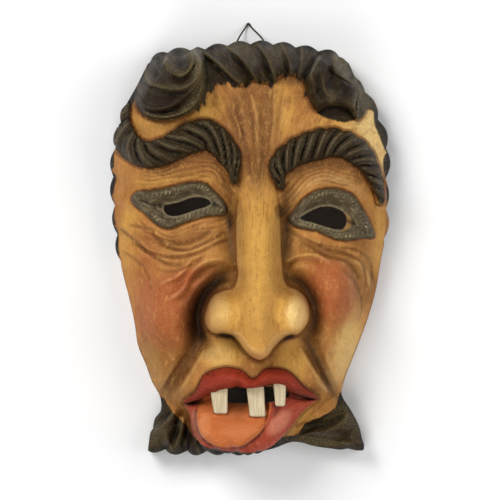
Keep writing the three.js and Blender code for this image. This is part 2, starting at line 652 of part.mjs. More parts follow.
function tooth({ at, top, bottom, lean, root }, grow) {
  const [x, y] = at;
  const high = root - y;
  const [a, b] = [top / 2 + grow, bottom / 2 + grow];
  const shape = new THREE.Shape();
  shape.moveTo(-b, 2);
  shape.quadraticCurveTo(-b, -grow, 2 - b, -grow);
  shape.lineTo(b - 2, -grow);
  shape.quadraticCurveTo(b, -grow, b, 2);
  shape.lineTo(a + lean, high + grow);
  shape.lineTo(lean - a, high + grow);
  shape.closePath();
  const round = grow ? 0 : 1.2;
  const peg = new THREE.ExtrudeGeometry(shape, {
    depth: TOOTH_THICK + 2 * grow - 2 * round,
    bevelEnabled: round > 0,
    bevelThickness: round,
    bevelSize: round,
    bevelOffset: -round,
    bevelSegments: 2,
    curveSegments: 3,
  });
  peg.translate(x, y, TOOTH_BACK - grow + round);
  return solid(peg);
}

// The wire: a narrow loop with its ends in two holes in the top of the rim, bent down so that it lies flat.
const WIRE = { radius: 0.55, holes: [-8.5, 9], height: 8, deep: 129, apex: [-1, 148, 0.8], steps: 30 };
const HOLE = { radius: 1.05, deep: 128, mouth: 144 };

function wireTube(points, radius, steps) {
  const path = new THREE.CatmullRomCurve3(points.map((p) => new THREE.Vector3(...p)), false, "centripetal");
  const section = new THREE.Shape();
  section.absarc(0, 0, radius, 0, 2 * Math.PI);
  return solid(new THREE.ExtrudeGeometry(section, { extrudePath: path, steps, curveSegments: 4 }));
}

function hangingWire() {
  const { radius, holes, height, deep, apex, steps } = WIRE;
  const [ax, ay, az] = apex;
  const leg = (x, lean) => [
    [x, deep, height], [x, deep + 4, height], [x, deep + 6.8, height], // straight out of its hole
    [x + 0.8 * lean, deep + 8.6, height - 1], // the bend towards the other leg and down
    [ax - 1.5 * lean, ay - 2, az + 0.3],
  ];
  return wireTube([...leg(holes[0], 1), apex, ...leg(holes[1], -1).reverse()], radius, steps);
}

function wireHole(x) {
  const along = [HOLE.deep, (HOLE.deep + HOLE.mouth) / 2, HOLE.mouth].map((y) => [x, y, WIRE.height]);
  return wireTube(along, HOLE.radius, 2);
}

function nostrilCutter({ at, size }) {
  const ball = new THREE.SphereGeometry(1, 10, 7);
  ball.scale(...size);
  ball.translate(...at);
  return solid(ball);
}

function carvedMask() {
  let body = carvedBlock().subtract(hollow());
  for (const { slot } of EYES) body = body.subtract(slotCutter(slot));
  body = body.subtract(slotCutter(MOUTH));
  for (const peg of TEETH) body = body.subtract(tooth(peg, FIT_GAP));
  for (const nostril of NOSTRILS) body = body.subtract(nostrilCutter(nostril));
  for (const x of WIRE.holes) body = body.subtract(wireHole(x));
  return body;
}

function material(color, roughness, metalness = 0) {
  return new THREE.MeshStandardMaterial({ color, roughness, metalness });
}

function named(name, body, finish) {
  const mesh = new THREE.Mesh(geometryOf(body), finish);
  mesh.name = name;
  return mesh;
}

const MIDDLE = [0.2, 5.8]; // the point of the face that the origin lies under
const group = new THREE.Group();
group.add(named("mask", carvedMask(), material(0xb9834c, 0.6)));
for (const peg of TEETH) group.add(named(peg.name, tooth(peg, 0), material(0xd9be95, 0.55)));
group.add(named("hanging_wire", hangingWire(), material(0x2e2a26, 0.5, 0.8)));
group.position.set(-MIDDLE[0], -MIDDLE[1], 0);

export default group;
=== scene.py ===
"""A carved and painted wooden carnival mask, lying on its back rim with the face up.

The carved front is one height over the rim, worked out from the lines and swellings that the carver cuts:
brows, lids, nose, lips, tongue, wrinkles, curls and locks. The same lines carry the paint. Places on the face
are in millimetres, +X to the viewer's right, +Y towards the crown and +Z out of the face; the finished meshes
are in metres.
"""

import logging
import math
from dataclasses import dataclass, field
from enum import Enum
from typing import Callable, Iterable, Sequence

import bmesh
import bpy
import numpy as np
from mathutils import Matrix, Vector


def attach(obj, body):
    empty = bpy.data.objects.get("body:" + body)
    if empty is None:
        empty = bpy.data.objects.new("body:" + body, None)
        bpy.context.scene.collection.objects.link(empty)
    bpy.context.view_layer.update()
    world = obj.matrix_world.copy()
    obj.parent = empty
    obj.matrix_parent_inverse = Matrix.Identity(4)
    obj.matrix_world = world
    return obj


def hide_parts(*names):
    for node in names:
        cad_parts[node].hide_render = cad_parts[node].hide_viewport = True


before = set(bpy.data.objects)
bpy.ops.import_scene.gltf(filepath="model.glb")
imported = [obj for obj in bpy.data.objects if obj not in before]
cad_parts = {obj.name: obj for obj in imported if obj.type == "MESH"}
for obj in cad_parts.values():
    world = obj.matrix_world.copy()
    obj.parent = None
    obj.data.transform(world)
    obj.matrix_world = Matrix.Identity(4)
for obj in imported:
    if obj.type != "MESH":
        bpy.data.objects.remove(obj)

log = logging.getLogger("carnival mask")

MM = 0.001
MIDDLE = (0.2, 5.8)  # the place on the face that lies over the origin
FAR = 1e3  # a distance at which a line has no say
THROUGH = (-1.0, 120.0)  # heights between which a cutter passes right through the wood
WIRE_HOLES = (-8.5, 9.0)  # how far across the wire's two ends go in
WIRE_HEIGHT = 8.0

Array = np.ndarray
Point = tuple[float, float]
Place = tuple[float, float, float]
Colour = tuple[int, int, int]  # as it looks on a screen
Material, Piece, Shape = bpy.types.Material, bpy.types.Object, bmesh.types.BMesh
Tree, Socket = bpy.types.NodeTree, bpy.types.NodeSocket


def ease(low: float | Array, high: float | Array, value: float | Array) -> Array:
    """Rises smoothly from 0 at low to 1 at high."""
    t = np.clip((value - low) / (high - low), 0.0, 1.0)
    return t * t * (3 - 2 * t)


def mix(a: float | Array, b: float | Array, t: float | Array) -> Array:
    """The value a share t of the way from a to b."""
    return a + (b - a) * t


def cushion(depth: Array, edge: float) -> Array:
    """The rise of a cushion with rounded edges, from 0 at its edge to 1 inside."""
    t = np.clip(depth / edge, 0.0, 1.0)
    return np.sqrt(1 - (1 - t) ** 2)


def smooth_max(a: Array, b: Array, soft: float) -> Array:
    """The greater of two heights, with the join rounded over."""
    h = np.maximum(soft - np.abs(a - b), 0) / soft
    return np.maximum(a, b) + h * h * soft / 4


@dataclass(frozen=True)
class Profile:
    """A value that runs smoothly through a few pairs of place and value."""

    pairs: tuple[Point, ...]

    def at(self, place: Array) -> Array:
        """Reads the value at each place."""
        xs, ys = np.array(self.pairs, float).T
        i = np.clip(np.searchsorted(xs, place, side="right") - 1, 0, len(xs) - 2)
        return mix(ys[i], ys[i + 1], ease(xs[i], xs[i + 1], place))


@dataclass
class Near:
    """How a set of places lies to one line.

    Attributes:
        away: distance to the line.
        along: how far along the line the nearest point is, from 0 to 1.
        side: 1 on the left of the line's own direction and -1 on its right.
        depth: how far inside a closed line, and less than 0 outside it.
    """

    away: Array
    along: Array
    side: Array
    depth: Array


class Line:
    """A smooth line over the front of the mask through a few points."""

    samples = 12  # places worked out on each stretch, before they are spaced evenly

    def __init__(
        self, points: Iterable[Point], closed: bool = False, steps: int = 6, reach: float = 24.0,
    ) -> None:
        """Draws the line.

        Args:
            points: the places that the line runs through, in millimetres.
            closed: whether it returns to its first point.
            steps: how many straight pieces stand for each stretch between two points.
            reach: the distance beyond which the line has no say.
        """
        self.closed, self.reach = closed, reach
        through = np.array(list(points), float)
        count = len(through) if closed else len(through) - 1
        end = through[:1] if closed else through[-1:]
        dense = np.concatenate([self._stretch(through, i) for i in range(count)] + [end])
        run = np.concatenate([[0.0], np.cumsum(np.hypot(*np.diff(dense, axis=0).T))])
        self.length = float(run[-1])
        even = np.linspace(0.0, self.length, steps * count + 1)
        self.path = np.stack([np.interp(even, run, dense[:, k]) for k in (0, 1)], axis=1)

    def _stretch(self, through: Array, i: int) -> Array:
        """Samples the curve between two of its points.

        Args:
            through: all the points.
            i: the number of the stretch.

        Returns:
            Places along the stretch, without its end.
        """
        n = len(through)
        if self.closed:
            p0, p1, p2, p3 = (through[(i + k) % n] for k in (-1, 0, 1, 2))
        else:
            p1, p2 = through[i], through[i + 1]
            p0 = through[i - 1] if i else 2 * p1 - p2
            p3 = through[i + 2] if i + 2 < n else 2 * p2 - p1
        d0, d1, d2 = (max(math.dist(a, b), 1e-6) ** 0.5 for a, b in ((p0, p1), (p1, p2), (p2, p3)))
        leave = ((p1 - p0) / d0 - (p2 - p0) / (d0 + d1) + (p2 - p1) / d1) * d1
        arrive = ((p2 - p1) / d1 - (p3 - p1) / (d1 + d2) + (p3 - p2) / d2) * d1
        t = np.arange(self.samples)[:, None] / self.samples
        curve = (2 * t**3 - 3 * t**2 + 1) * p1 + (3 * t**2 - 2 * t**3) * p2
        return curve + (t**3 - 2 * t**2 + t) * leave + (t**3 - t**2) * arrive

    def near(self, x: Array, y: Array) -> Near:
        """Measures a set of places against the line.

        Args:
            x: their places across.
            y: their places up the face.

        Returns:
            How each place lies to the line.
        """
        low, high = self.path.min(0) - self.reach, self.path.max(0) + self.reach
        pick = np.nonzero((x > low[0]) & (x < high[0]) & (y > low[1]) & (y < high[1]))[0]
        px, py = x[pick], y[pick]
        best = np.full(len(pick), FAR**2)
        along, side = np.zeros(len(pick)), np.ones(len(pick))
        inside = np.zeros(len(pick), bool)
        for i, ((ax, ay), (bx, by)) in enumerate(zip(self.path[:-1], self.path[1:])):
            dx, dy = bx - ax, by - ay
            ox, oy = px - ax, py - ay
            t = np.clip((ox * dx + oy * dy) / (dx * dx + dy * dy), 0.0, 1.0)
            gap = (ox - t * dx) ** 2 + (oy - t * dy) ** 2
            closer = gap < best
            best[closer] = gap[closer]
            along[closer] = i + t[closer]
            side[closer] = np.where((dx * oy - dy * ox)[closer] > 0, 1.0, -1.0)
            if self.closed and ay != by:
                inside ^= ((ay > py) != (by > py)) & (ox < oy * dx / dy)
        found = Near(np.full(x.shape, FAR), np.zeros(x.shape), np.ones(x.shape), np.full(x.shape, -FAR))
        found.away[pick] = np.sqrt(best)
        found.along[pick] = along / (len(self.path) - 1)
        found.side[pick] = side
        found.depth[pick] = np.where(inside, 1.0, -1.0) * found.away[pick]
        return found

    def at(self, along: Array) -> Array:
        """The places at given shares of the line's length, as rows of x and y."""
        share = np.linspace(0.0, 1.0, len(self.path))
        return np.stack([np.interp(along, share, self.path[:, k]) for k in (0, 1)], axis=-1)


def soft_stroke(near: Near, strength: float, half: float, ends: Point) -> Array:
    """The strength of a stroke at each place, which fades over half its width and towards its two ends."""
    fade = np.sqrt(np.clip(np.sin(np.pi * mix(*ends, near.along)), 0, 1))
    return strength * np.exp(-((near.away / half) ** 2)) * fade


class Survey:
    """A set of places on the face, which remembers how they lie to each line."""

    def __init__(self, x: Array, y: Array) -> None:
        """Takes the places as two flat arrays, in millimetres."""
        self.x, self.y = x, y
        self._known: dict[int, Near] = {}

    def near(self, line: Line) -> Near:
        """Measures the places against a line, once."""
        if id(line) not in self._known:
            self._known[id(line)] = line.near(self.x, self.y)
        return self._known[id(line)]

    def turned(self, at: Point, size: Point, turn: float) -> Array:
        """How far out each place is on a turned ellipse, squared: 0 in the middle and 1 on its edge."""
        c, s = math.cos(math.radians(turn)), math.sin(math.radians(turn))
        dx, dy = self.x - at[0], self.y - at[1]
        return ((dx * c + dy * s) / size[0]) ** 2 + ((dy * c - dx * s) / size[1]) ** 2


@dataclass(frozen=True)
class Mound:
    """A smooth swelling on an ellipse, or a hollow when it rises by less than 0."""

    at: Point
    size: Point
    rise: float
    turn: float = 0.0

    def height(self, survey: Survey) -> Array:
        """How much it adds at each place."""
        d = np.clip(survey.turned(self.at, self.size, self.turn), 0, 1)
        return self.rise * (1 - d) ** 2


class Furrow:
    """A groove cut along a line, or a ridge left standing when it is less than 0 deep."""

    def __init__(
        self, half: float, depth: float, points: Sequence[Point], ends: Point = (0.1, 0.97),
    ) -> None:
        """Draws the furrow.

        Args:
            half: half its width.
            depth: its depth at the middle of its length.
            points: the places that it runs through.
            ends: how full it still is at its two ends, 0 or 1 for nothing.
        """
        self.half, self.depth, self.ends = half, depth, ends
        self.line = Line(points, reach=3 * half)

    def cut(self, survey: Survey) -> Array:
        """How much it takes away at each place."""
        return soft_stroke(survey.near(self.line), self.depth, self.half, self.ends)


@dataclass
class Crest:
    """A crisp crest along a line: it rises sharply beside a narrow valley and falls away slowly.

    Attributes:
        points: the places that the valley runs through.
        side: 1 where the crest is on the left of the line's own direction, -1 on its right.
        rise: height of the crest.
        run: how slowly it falls away.
        dip: depth of the valley.
        lip: width of the sharp rise.
        ends: how much of the line's length each end takes to fade.
    """

    points: tuple[Point, ...]
    side: int
    rise: float
    run: float = 8.0
    dip: float = 1.5
    lip: float = 2.0
    ends: float = 0.16
    valley = 2.4  # half the width of the valley
    glint = 0.9  # half the width of the worn paint and its painted highlight

    def __post_init__(self) -> None:
        """Draws the line."""
        self.line = Line(self.points)

    def height(self, survey: Survey) -> Array:
        """How much it adds at each place.

        Args:
            survey: the places.

        Returns:
            The heights to add, in millimetres.
        """
        near = survey.near(self.line)
        away = np.minimum(near.away, 60)
        slope = np.exp(-np.maximum(away - self.lip, 0) / self.run)
        rising = mix(-self.dip, self.rise, ease(0, self.lip, away)) * slope
        falling = -self.dip * np.exp(-((away / self.valley) ** 2))
        return self._fade(near) * np.where(near.side * self.side > 0, rising, falling)

    def _fade(self, near: Near) -> Array:
        """Fades the crest out at both ends and before the line loses its say."""
        return ease(0, self.ends, near.along) * ease(1, 1 - self.ends, near.along) * ease(22, 16, near.away)

    def shine(self, survey: Survey) -> Array:
        """How light the crest is painted, for worn paint and a painted highlight, from 0 to 1."""
        near = survey.near(self.line)
        worn = np.exp(-(((near.away - self.lip) / self.glint) ** 2))
        return self._fade(near) * (near.side * self.side > 0) * worn


def drawn_line(*points: Point) -> Line:
    """A closed line round a patch of the face."""
    return Line(points, closed=True)


# The outline of the whole mask, in four sides from the lower left corner, clockwise.
LEFT_SIDE = (
    (-67, -132), (-65, -120), (-58.5, -107), (-59, -97), (-64, -88), (-68, -77), (-73.5, -64), (-75.5, -50),
    (-79, -34), (-84, -14), (-87.5, 6), (-89.5, 28), (-90.5, 46), (-89.5, 62), (-86.5, 78), (-81, 94),
    (-74, 107), (-67, 121),
)
TOP_SIDE = (
    (-67, 121), (-57, 128), (-44, 130), (-30, 131), (-14, 133.5), (1, 134.5), (17, 134), (32, 132),
    (46, 129.5), (57, 127), (65, 121),
)
RIGHT_SIDE = (
    (65, 121), (70, 110), (76, 103), (81, 94), (85, 84), (89, 73), (90.5, 58), (89.5, 40),
    (90, 22), (88.5, 6), (85.5, -10), (82.5, -28), (78, -44), (73, -58), (67.5, -72), (62, -86),
    (60, -96), (66, -106), (72, -118), (74, -132),
)
BOTTOM_SIDE = (
    (74, -132), (58, -132), (42, -130), (29, -127), (14, -132), (0, -134), (-22, -134), (-45, -134),
    (-67, -132),
)


class Outline:
    """The edge of the mask seen from the front, without the scallops of its locks."""

    def __init__(self) -> None:
        """Draws the four sides, the whole outline and the edge of the face above the locks of the neck."""
        self.sides = [Line(side, steps=5) for side in (LEFT_SIDE, TOP_SIDE, RIGHT_SIDE, BOTTOM_SIDE)]
        around = LEFT_SIDE + TOP_SIDE[1:] + RIGHT_SIDE[1:] + BOTTOM_SIDE[1:-1]
        self.whole = Line(around, closed=True, steps=3, reach=200)
        jaw = ((48, -107), (34, -120), (20, -129), (0, -132), (-20, -132), (-37, -124), (-46, -112))
        edge = LEFT_SIDE[3:] + TOP_SIDE[1:] + RIGHT_SIDE[1:17] + jaw
        self.face = Line(edge, closed=True, steps=3, reach=200)


@dataclass(frozen=True)
class Scallops:
    """A row of rounded bumps along part of the outline."""

    start: float
    end: float
    pitch: float
    out: float

    def swell(self, place: Array, z: Array, lean: float) -> Array:
        """How far the bumps stand out.

        Args:
            place: the distance along the outline.
            z: the height over the rim.
            lean: how far each bump leans along the outline as it rises.

        Returns:
            The swell outwards, which fades at both ends of the row.
        """
        fade = ease(0, 8, place - self.start) * ease(0, 8, self.end - place)
        within = (place >= self.start) & (place <= self.end)
        bump = np.abs(np.sin(np.pi * (place + lean * z) / self.pitch)) - 0.35
        return np.where(within, self.out * bump * fade, 0.0)


SCALLOPS = (
    Scallops(8, 28, 18, 2.6),  # lock below the left jaw
    Scallops(126, 236, 19, 2.6),  # left side
    Scallops(262, 400, 15, 2.6),  # over the forehead
    Scallops(410, 530, 20, 2.6),  # right side
    Scallops(660, 690, 26, 2.0),  # lock below the right jaw
    Scallops(735, 838, 14, 3.0),  # along the foot
)


@dataclass(frozen=True)
class Brow:
    """A rope of hair over an eye."""

    line: Line
    half: Profile
    strands: float
    lean: Profile
    lobes: float  # how far the strands bulge out of its edge

    def width(self, near: Near) -> Array:
        """Half the width of the rope, with the strands bulging out of its upper edge."""
        lobes = self.lobes * (near.side > 0) * (self._bulge(self.strands * near.along) - 0.5)
        return self.half.at(near.along) * (1 + lobes)

    def across(self, near: Near) -> Array:
        """How far a place is from the middle of the rope, from 0 to 1 at its edge."""
        return np.clip(near.away / self.width(near), 0, 1)

    def twist(self, near: Near) -> Array:
        """The number of strands passed on the way along the rope."""
        return self.strands * near.along + self.lean.at(near.along) * near.side * self.across(near)

    @staticmethod
    def _bulge(twist: Array) -> Array:
        """The rounded top of each strand."""
        return np.sqrt(np.abs(np.sin(np.pi * twist)))

    def height(self, near: Near, rise: float, share: float) -> Array:
        """The height of the rope, with its slanting strands and the hairs in each.

        Args:
            near: how the places lie to its middle line.
            rise: its greatest height.
            share: how much of the height the strands take.

        Returns:
            The heights to add, in millimetres.
        """
        twist = self.twist(near)
        hairs = np.abs(np.sin(4 * np.pi * twist))
        shape = 1 - share + share * self._bulge(twist) + 0.04 * hairs
        return rise * np.sqrt(1 - self.across(near) ** 2) * shape


@dataclass(frozen=True)
class Eye:
    """The lids of an eye, the slot between them and the creases that run from its corners."""

    lids: Line
    slot: Line
    creases: tuple[Furrow, ...]
    lash_pitch = 2.8

    def lash_turn(self, near: Near) -> Array:
        """How far the lashes have turned over on the way round the lids."""
        return 2 * np.pi * near.along * round(self.lids.length / self.lash_pitch) + 0.8 * near.depth

    def height(self, survey: Survey, rise: float) -> Array:
        """The rise of the lids: a rim with lashes cut across it and a bowl round the slot.

        Args:
            survey: the places.
            rise: how far the rim stands out.

        Returns:
            The heights to add, in millimetres.
        """
        near, slot = survey.near(self.lids), survey.near(self.slot)
        bowl = 3.6 * ease(9, 1, -slot.depth)
        lashes = np.sin(self.lash_turn(near))
        lashed = ease(1.2, 2.4, near.depth) * ease(5.8, 4.2, near.depth)
        band = cushion(near.depth, 5)
        creased = sum(crease.cut(survey) for crease in self.creases) * (near.depth > 0)
        return band * (rise - bowl) + 0.3 * lashes * lashed - creased


@dataclass(frozen=True)
class Roll:
    """A lip: a roll that bends back towards the corners of the mouth."""

    base: float
    bend: float
    rise: float
    edge: float

    def height(self, x: Array, depth: Array) -> Array:
        """The top of the roll over the rim."""
        return self.base - self.bend * x * x + self.rise * cushion(depth, self.edge)


@dataclass(frozen=True)
class Tier:
    """One step of a curl: a crisp crest along its edge and a scooped face within it."""

    line: Line
    rise: float
    scoop: float = 0.0
    edge: float = 4.0
    worn: float = 1.0  # how light its edge is brushed, for worn paint and a painted highlight

    def height(self, survey: Survey) -> Array:
        """How much the step adds at each place."""
        depth = survey.near(self.line).depth
        dip = self.scoop * ease(self.edge, self.edge + 7, depth)
        return self.rise * cushion(depth, self.edge) - dip


# The foot of the nose, seen from the front.
NOSE_PLAN = (
    (-5, 46), (-8, 30), (-9.5, 15), (-9.5, 2), (-9, -9), (-8.5, -18), (-11, -25.5), (-18, -27.5),
    (-24.5, -31), (-28.5, -39), (-30, -47), (-28, -52), (-24, -55), (-18, -56), (-11.5, -57), (-8, -60),
    (-4, -65.5), (0.7, -70.2), (6, -72.5), (11.5, -70), (15.5, -64.5), (21, -59), (26, -57), (31, -56),
    (35, -52.5), (38.5, -46.5), (39, -40), (36.5, -32), (31, -27), (24.5, -24), (22, -18), (21, -9),
    (20.5, 2), (20, 15), (18.5, 30), (15, 46),
)

# The lips, and the tongue lolling over the lower one, as closed lines.
UPPER_LIP = (
    (-44, -101), (-36, -93), (-30, -82), (-16, -77), (-5, -79), (2, -84), (10, -78), (24, -79), (36, -90),
    (45, -98.5), (35, -96.5), (26, -93.5), (21, -89.5), (14, -88.5), (8, -90), (-2, -93), (-8.5, -90),
    (-14, -92.5), (-26, -95.5), (-33, -98.5),
)
LOWER_LIP = (
    (-43, -101.5), (-39.5, -108), (-37.5, -120.5), (-29, -129), (-16, -131.5), (4, -132.5), (14, -129),
    (26, -117), (35, -106), (44, -98.5), (34, -96), (25, -93), (0, -93), (-30, -97.5),
)
TONGUE = (
    (-31, -98), (-34.5, -106), (-34, -115), (-31, -121.5), (-25, -127), (-16, -129), (-5.5, -128),
    (3.5, -122.5), (10, -115), (13, -106.5), (13.5, -100), (8, -95), (-12, -94), (-26, -95.5),
)

# The edge of the hair over the forehead, closed beyond the crown.
HAIRLINE = (
    (-34, 90), (-26, 101), (-18.5, 107), (-7, 104.5), (6, 108), (13, 105), (20, 111), (28, 112), (34, 107),
    (38, 97), (60, 130), (30, 160), (-30, 160), (-70, 130),
)

# The edge of the lids, the slot between them and the creases at the corners, for each eye.
LEFT_LIDS = (
    (-77.5, 32), (-74, 36.5), (-65, 37.5), (-55.5, 39), (-49, 40.5), (-41, 42.5), (-34.5, 43), (-28, 41.5),
    (-24, 37.5), (-20, 34), (-16.5, 29.5), (-14.5, 25), (-16, 21.5), (-23, 21), (-30.5, 20), (-37.5, 18),
    (-45.5, 15), (-52, 12.5), (-58.5, 14), (-65, 19), (-69.5, 23.5), (-75, 27.5),
)
LEFT_SLOT = (
    (-56, 27.5), (-55.5, 23.5), (-52, 21), (-47, 21), (-41.5, 22.5), (-34.5, 25), (-28, 27), (-25.5, 29),
    (-27.5, 31.5), (-32.5, 33), (-39, 32.5), (-45.5, 30), (-52, 28.5),
)
LEFT_CREASES = (
    (1.5, 1.8, ((-73, 31.5), (-67, 29.5), (-62, 27.5), (-55, 27))),
    (1.3, 1.4, ((-26, 29), (-20, 27.5), (-15.5, 25))),
)
RIGHT_LIDS = (
    (24.5, 19), (27.5, 23.5), (33, 30.5), (38.5, 35), (45.5, 38), (54, 39), (61, 37.5), (67, 34.5),
    (71.5, 28.5), (76, 21.5), (79.5, 14), (81, 6.5), (74.5, 6.5), (67, 5), (58.5, 5), (51.5, 7), (44.5, 10.5),
    (37, 12), (28.5, 14),
)
RIGHT_SLOT = (
    (32.5, 19.5), (36, 22), (40.5, 24.5), (45.5, 26.5), (51.5, 27), (57, 25.5), (61, 23), (63, 19),
    (62.5, 15.5), (60.5, 12.5), (56.5, 12), (52, 13), (45.5, 15), (39, 17), (34.5, 18),
)
RIGHT_CREASES = (
    (1.4, 1.5, ((62, 18), (68, 15.5), (74, 11), (79, 7.5))),
    (1.2, 1.0, ((26, 19), (30, 19), (34, 19.5))),
)

WRINKLE_ENDS = (0.12, 0.88)  # how full a wrinkle still is at its two ends
CREASE_ENDS = (0.3, 0.7)  # the same for a crease at the corner of an eye

# The middle lines of the brows, from left to right.
LEFT_BROW = (
    (-83, 92), (-84, 80), (-79, 67), (-67, 60.5), (-53, 63.5), (-40, 70.5), (-28, 73), (-18, 66), (-11.5, 55),
    (-10, 44),
)
RIGHT_BROW = (
    (20, 40), (19, 51), (27, 60), (40, 65.5), (54, 68), (65, 65), (74, 58), (80, 49), (84, 39), (85.5, 31),
)

# The deep folds of the face and the partings between the locks: half the width, the depth, the places.
FOLDS = (
    # from the nose down past the corners of the mouth
    (5.5, 13, ((-10, -16), (-18.5, -18.5), (-27, -26), (-32.5, -34), (-35, -44), (-34, -53), (-31, -60))),
    (5.5, 6, ((-33, -52), (-36.5, -64), (-42, -76), (-48.5, -88), (-54, -98))),
    (5.5, 11, ((22, -15), (30, -20), (37.5, -27), (42.5, -37), (42.5, -47.5), (39, -56))),
    (5, 5, ((37, -56), (41, -66), (45.5, -77), (50.5, -88), (56, -98))),
    # between each eye and the nose
    (6, 6, ((-17, 36), (-15, 16), (-12, -4))),
    (6, 6, ((26, 32), (24, 12), (22, -8))),
    # over and beside the cheeks
    (4, 4, ((-24, -14), (-42, -21), (-56, -31))),
    (4, 3.5, ((24, -10), (38, -1), (52, -4))),
    (4, 4, ((64, -9), (70, -22), (72, -36))),
    # bags under the eyes
    (4, 3, ((-64, 5), (-44, 3), (-26, 9))),
    (4, 3, ((34, -1), (52, -5), (70, -2))),
    # frown lines
    (3.5, 3, ((-3, 96), (-1, 74), (1, 52))),
    (3.5, 3, ((9, 98), (9, 76), (10, 54))),
    # under the nose
    (5, 2, ((4, -70), (3, -80))),
    # between the locks below the jaw
    (3, 6, ((-46, -108), (-48, -120), (-58, -135))),
    (3, 6, ((-44, -109), (-40, -120), (-42, -136))),
    (3, 6, ((32, -116), (44, -115), (53, -113.5), (64, -106))),
    (3, 6, ((33, -121), (45, -125.5), (57, -126), (70, -119))),
)

# The fine wrinkles, given in the same way.
WRINKLES = (
    (1.8, 1.2, ((-21, 56), (-17, 46), (-13, 37))),
    # under the left eye
    (1.2, 1.6, ((-84, 12), (-73, 3), (-65, -4), (-54, -10), (-45, -11))),
    (1.1, 1.4, ((-78, 15), (-65, 11.5), (-60, 5), (-51, 0), (-41, -1), (-26, 5), (-17, 10))),
    (1.1, 1.2, ((-60, 7), (-54, 4), (-43, 3), (-32, 7), (-24, 13))),
    (1.2, 1.5, ((-76, 3), (-65, -3), (-50, -6), (-34, -3), (-21, 3), (-15, 5))),
    (1.1, 1, ((-83, -2), (-74, -8), (-66, -18), (-64, -26))),
    (1, 0.9, ((-60, -14), (-50, -15), (-38, -11), (-28, -4))),
    # under the right eye
    (1.2, 1.6, ((24, 12), (37, 5), (50, -1), (63, -4), (73, -10), (76, -25))),
    (1.1, 1.3, ((32, 5), (50, -5), (63, -9), (71, -19))),
    (1.1, 1.2, ((46, 2), (58, 0), (68, -1), (78, -8), (80, -20))),
    (1, 1, ((60, -14), (68, -22), (73, -36), (72, -46))),
    # up the forehead
    (1.7, 1.2, ((-9, 100), (-6, 82), (-2, 62), (0, 48))),
    (1.7, -0.8, ((-8, 101), (-3, 88), (-1, 66))),
    (1.6, -0.6, ((-2, 104), (3, 92), (6, 76))),
    (1.5, -0.6, ((24, 106), (25, 94), (20, 80), (15, 62))),
    (1.7, 1.2, ((15, 100), (13, 80), (11, 60))),
    (1.5, 0.9, ((21, 103), (19, 84), (17, 68))),
    (1.5, 0.9, ((-17, 98), (-12, 84), (-5, 66))),
    # beside the mouth
    (1.6, 1.2, ((-42, -70), (-50, -82), (-56, -92))),
    (1.6, 1.2, ((46, -70), (52, -82), (57, -92))),
)

# The rolls of hair over the forehead, each laid over the one on its left, given as for a Crest.
ROLLS = (
    (((-41, 131), (-29, 124), (-20, 115.5), (-12, 108), (-3.5, 101)), 1, 6.5, 8, 2.5, 2.4, 0.1),
    (((-21, 134), (-13, 127.5), (-5.5, 119), (0.5, 110), (5, 101)), 1, 7, 8, 2.5, 2.4, 0.1),
    (((0, 136), (6.5, 127.5), (11, 118), (14, 109), (15, 101)), 1, 6.5, 8, 2.5, 2.4, 0.1),
    (((16, 137), (21, 127), (24, 117), (25, 106)), 1, 4.5, 7, 2, 2.4, 0.2),
    (((31, 136), (31.5, 126), (30, 114), (28, 106)), 1, 3, 7, 1.5, 2.4, 0.2),
    (((50, 131), (43, 124), (38.5, 116), (36, 107)), 1, 3, 6, 2, 2, 0.2),
)

# The crisp folds of the cheeks and round the muzzle.
SKIN_CRESTS = (
    # over the left and the right cheek
    (((-10, -14), (-18, -11.5), (-24, -12), (-30.5, -15), (-36, -21), (-39, -26.5), (-43.5, -32),
        (-50.5, -36), (-58, -39.5)), -1, 3.4, 7, 2, 4.5, 0.3),
    (((-26, -8.5), (-35, -9), (-39.5, -15), (-45.5, -21), (-53.5, -24.5), (-58.5, -28), (-61.5, -33)), -1,
        1.6, 5, 0.8, 3.4, 0.3),
    (((22.5, -19), (26.5, -11.5), (32.5, -8.5), (40.5, -7.5), (46, -10), (53, -15)), 1, 2.8, 6, 2.2, 4,
        0.3),
    # beside the muzzle
    (((-29, -59), (-34.5, -67.5), (-40.5, -78), (-47, -88.5), (-52, -96)), 1, 2.2, 9, 2.2, 4, 0.3),
    (((32, -60), (37.5, -68.5), (43, -77.5), (49, -87), (54.5, -96)), -1, 2.2, 9, 3, 2.8, 0.25),
    # either side of the groove under the nose
    (((-6.5, -60), (-7, -68), (-7.5, -77)), -1, 0.5, 6, 0.4, 2.6, 0.4),
    (((12.5, -69), (13, -74), (13, -79)), 1, 0.5, 6, 0.4, 2.6, 0.4),
    # beside the right eye
    (((68, -3), (75, -9), (79.5, -17.5), (81.5, -27.5)), -1, 1.6, 5, 1.4, 3.4, 0.25),
)

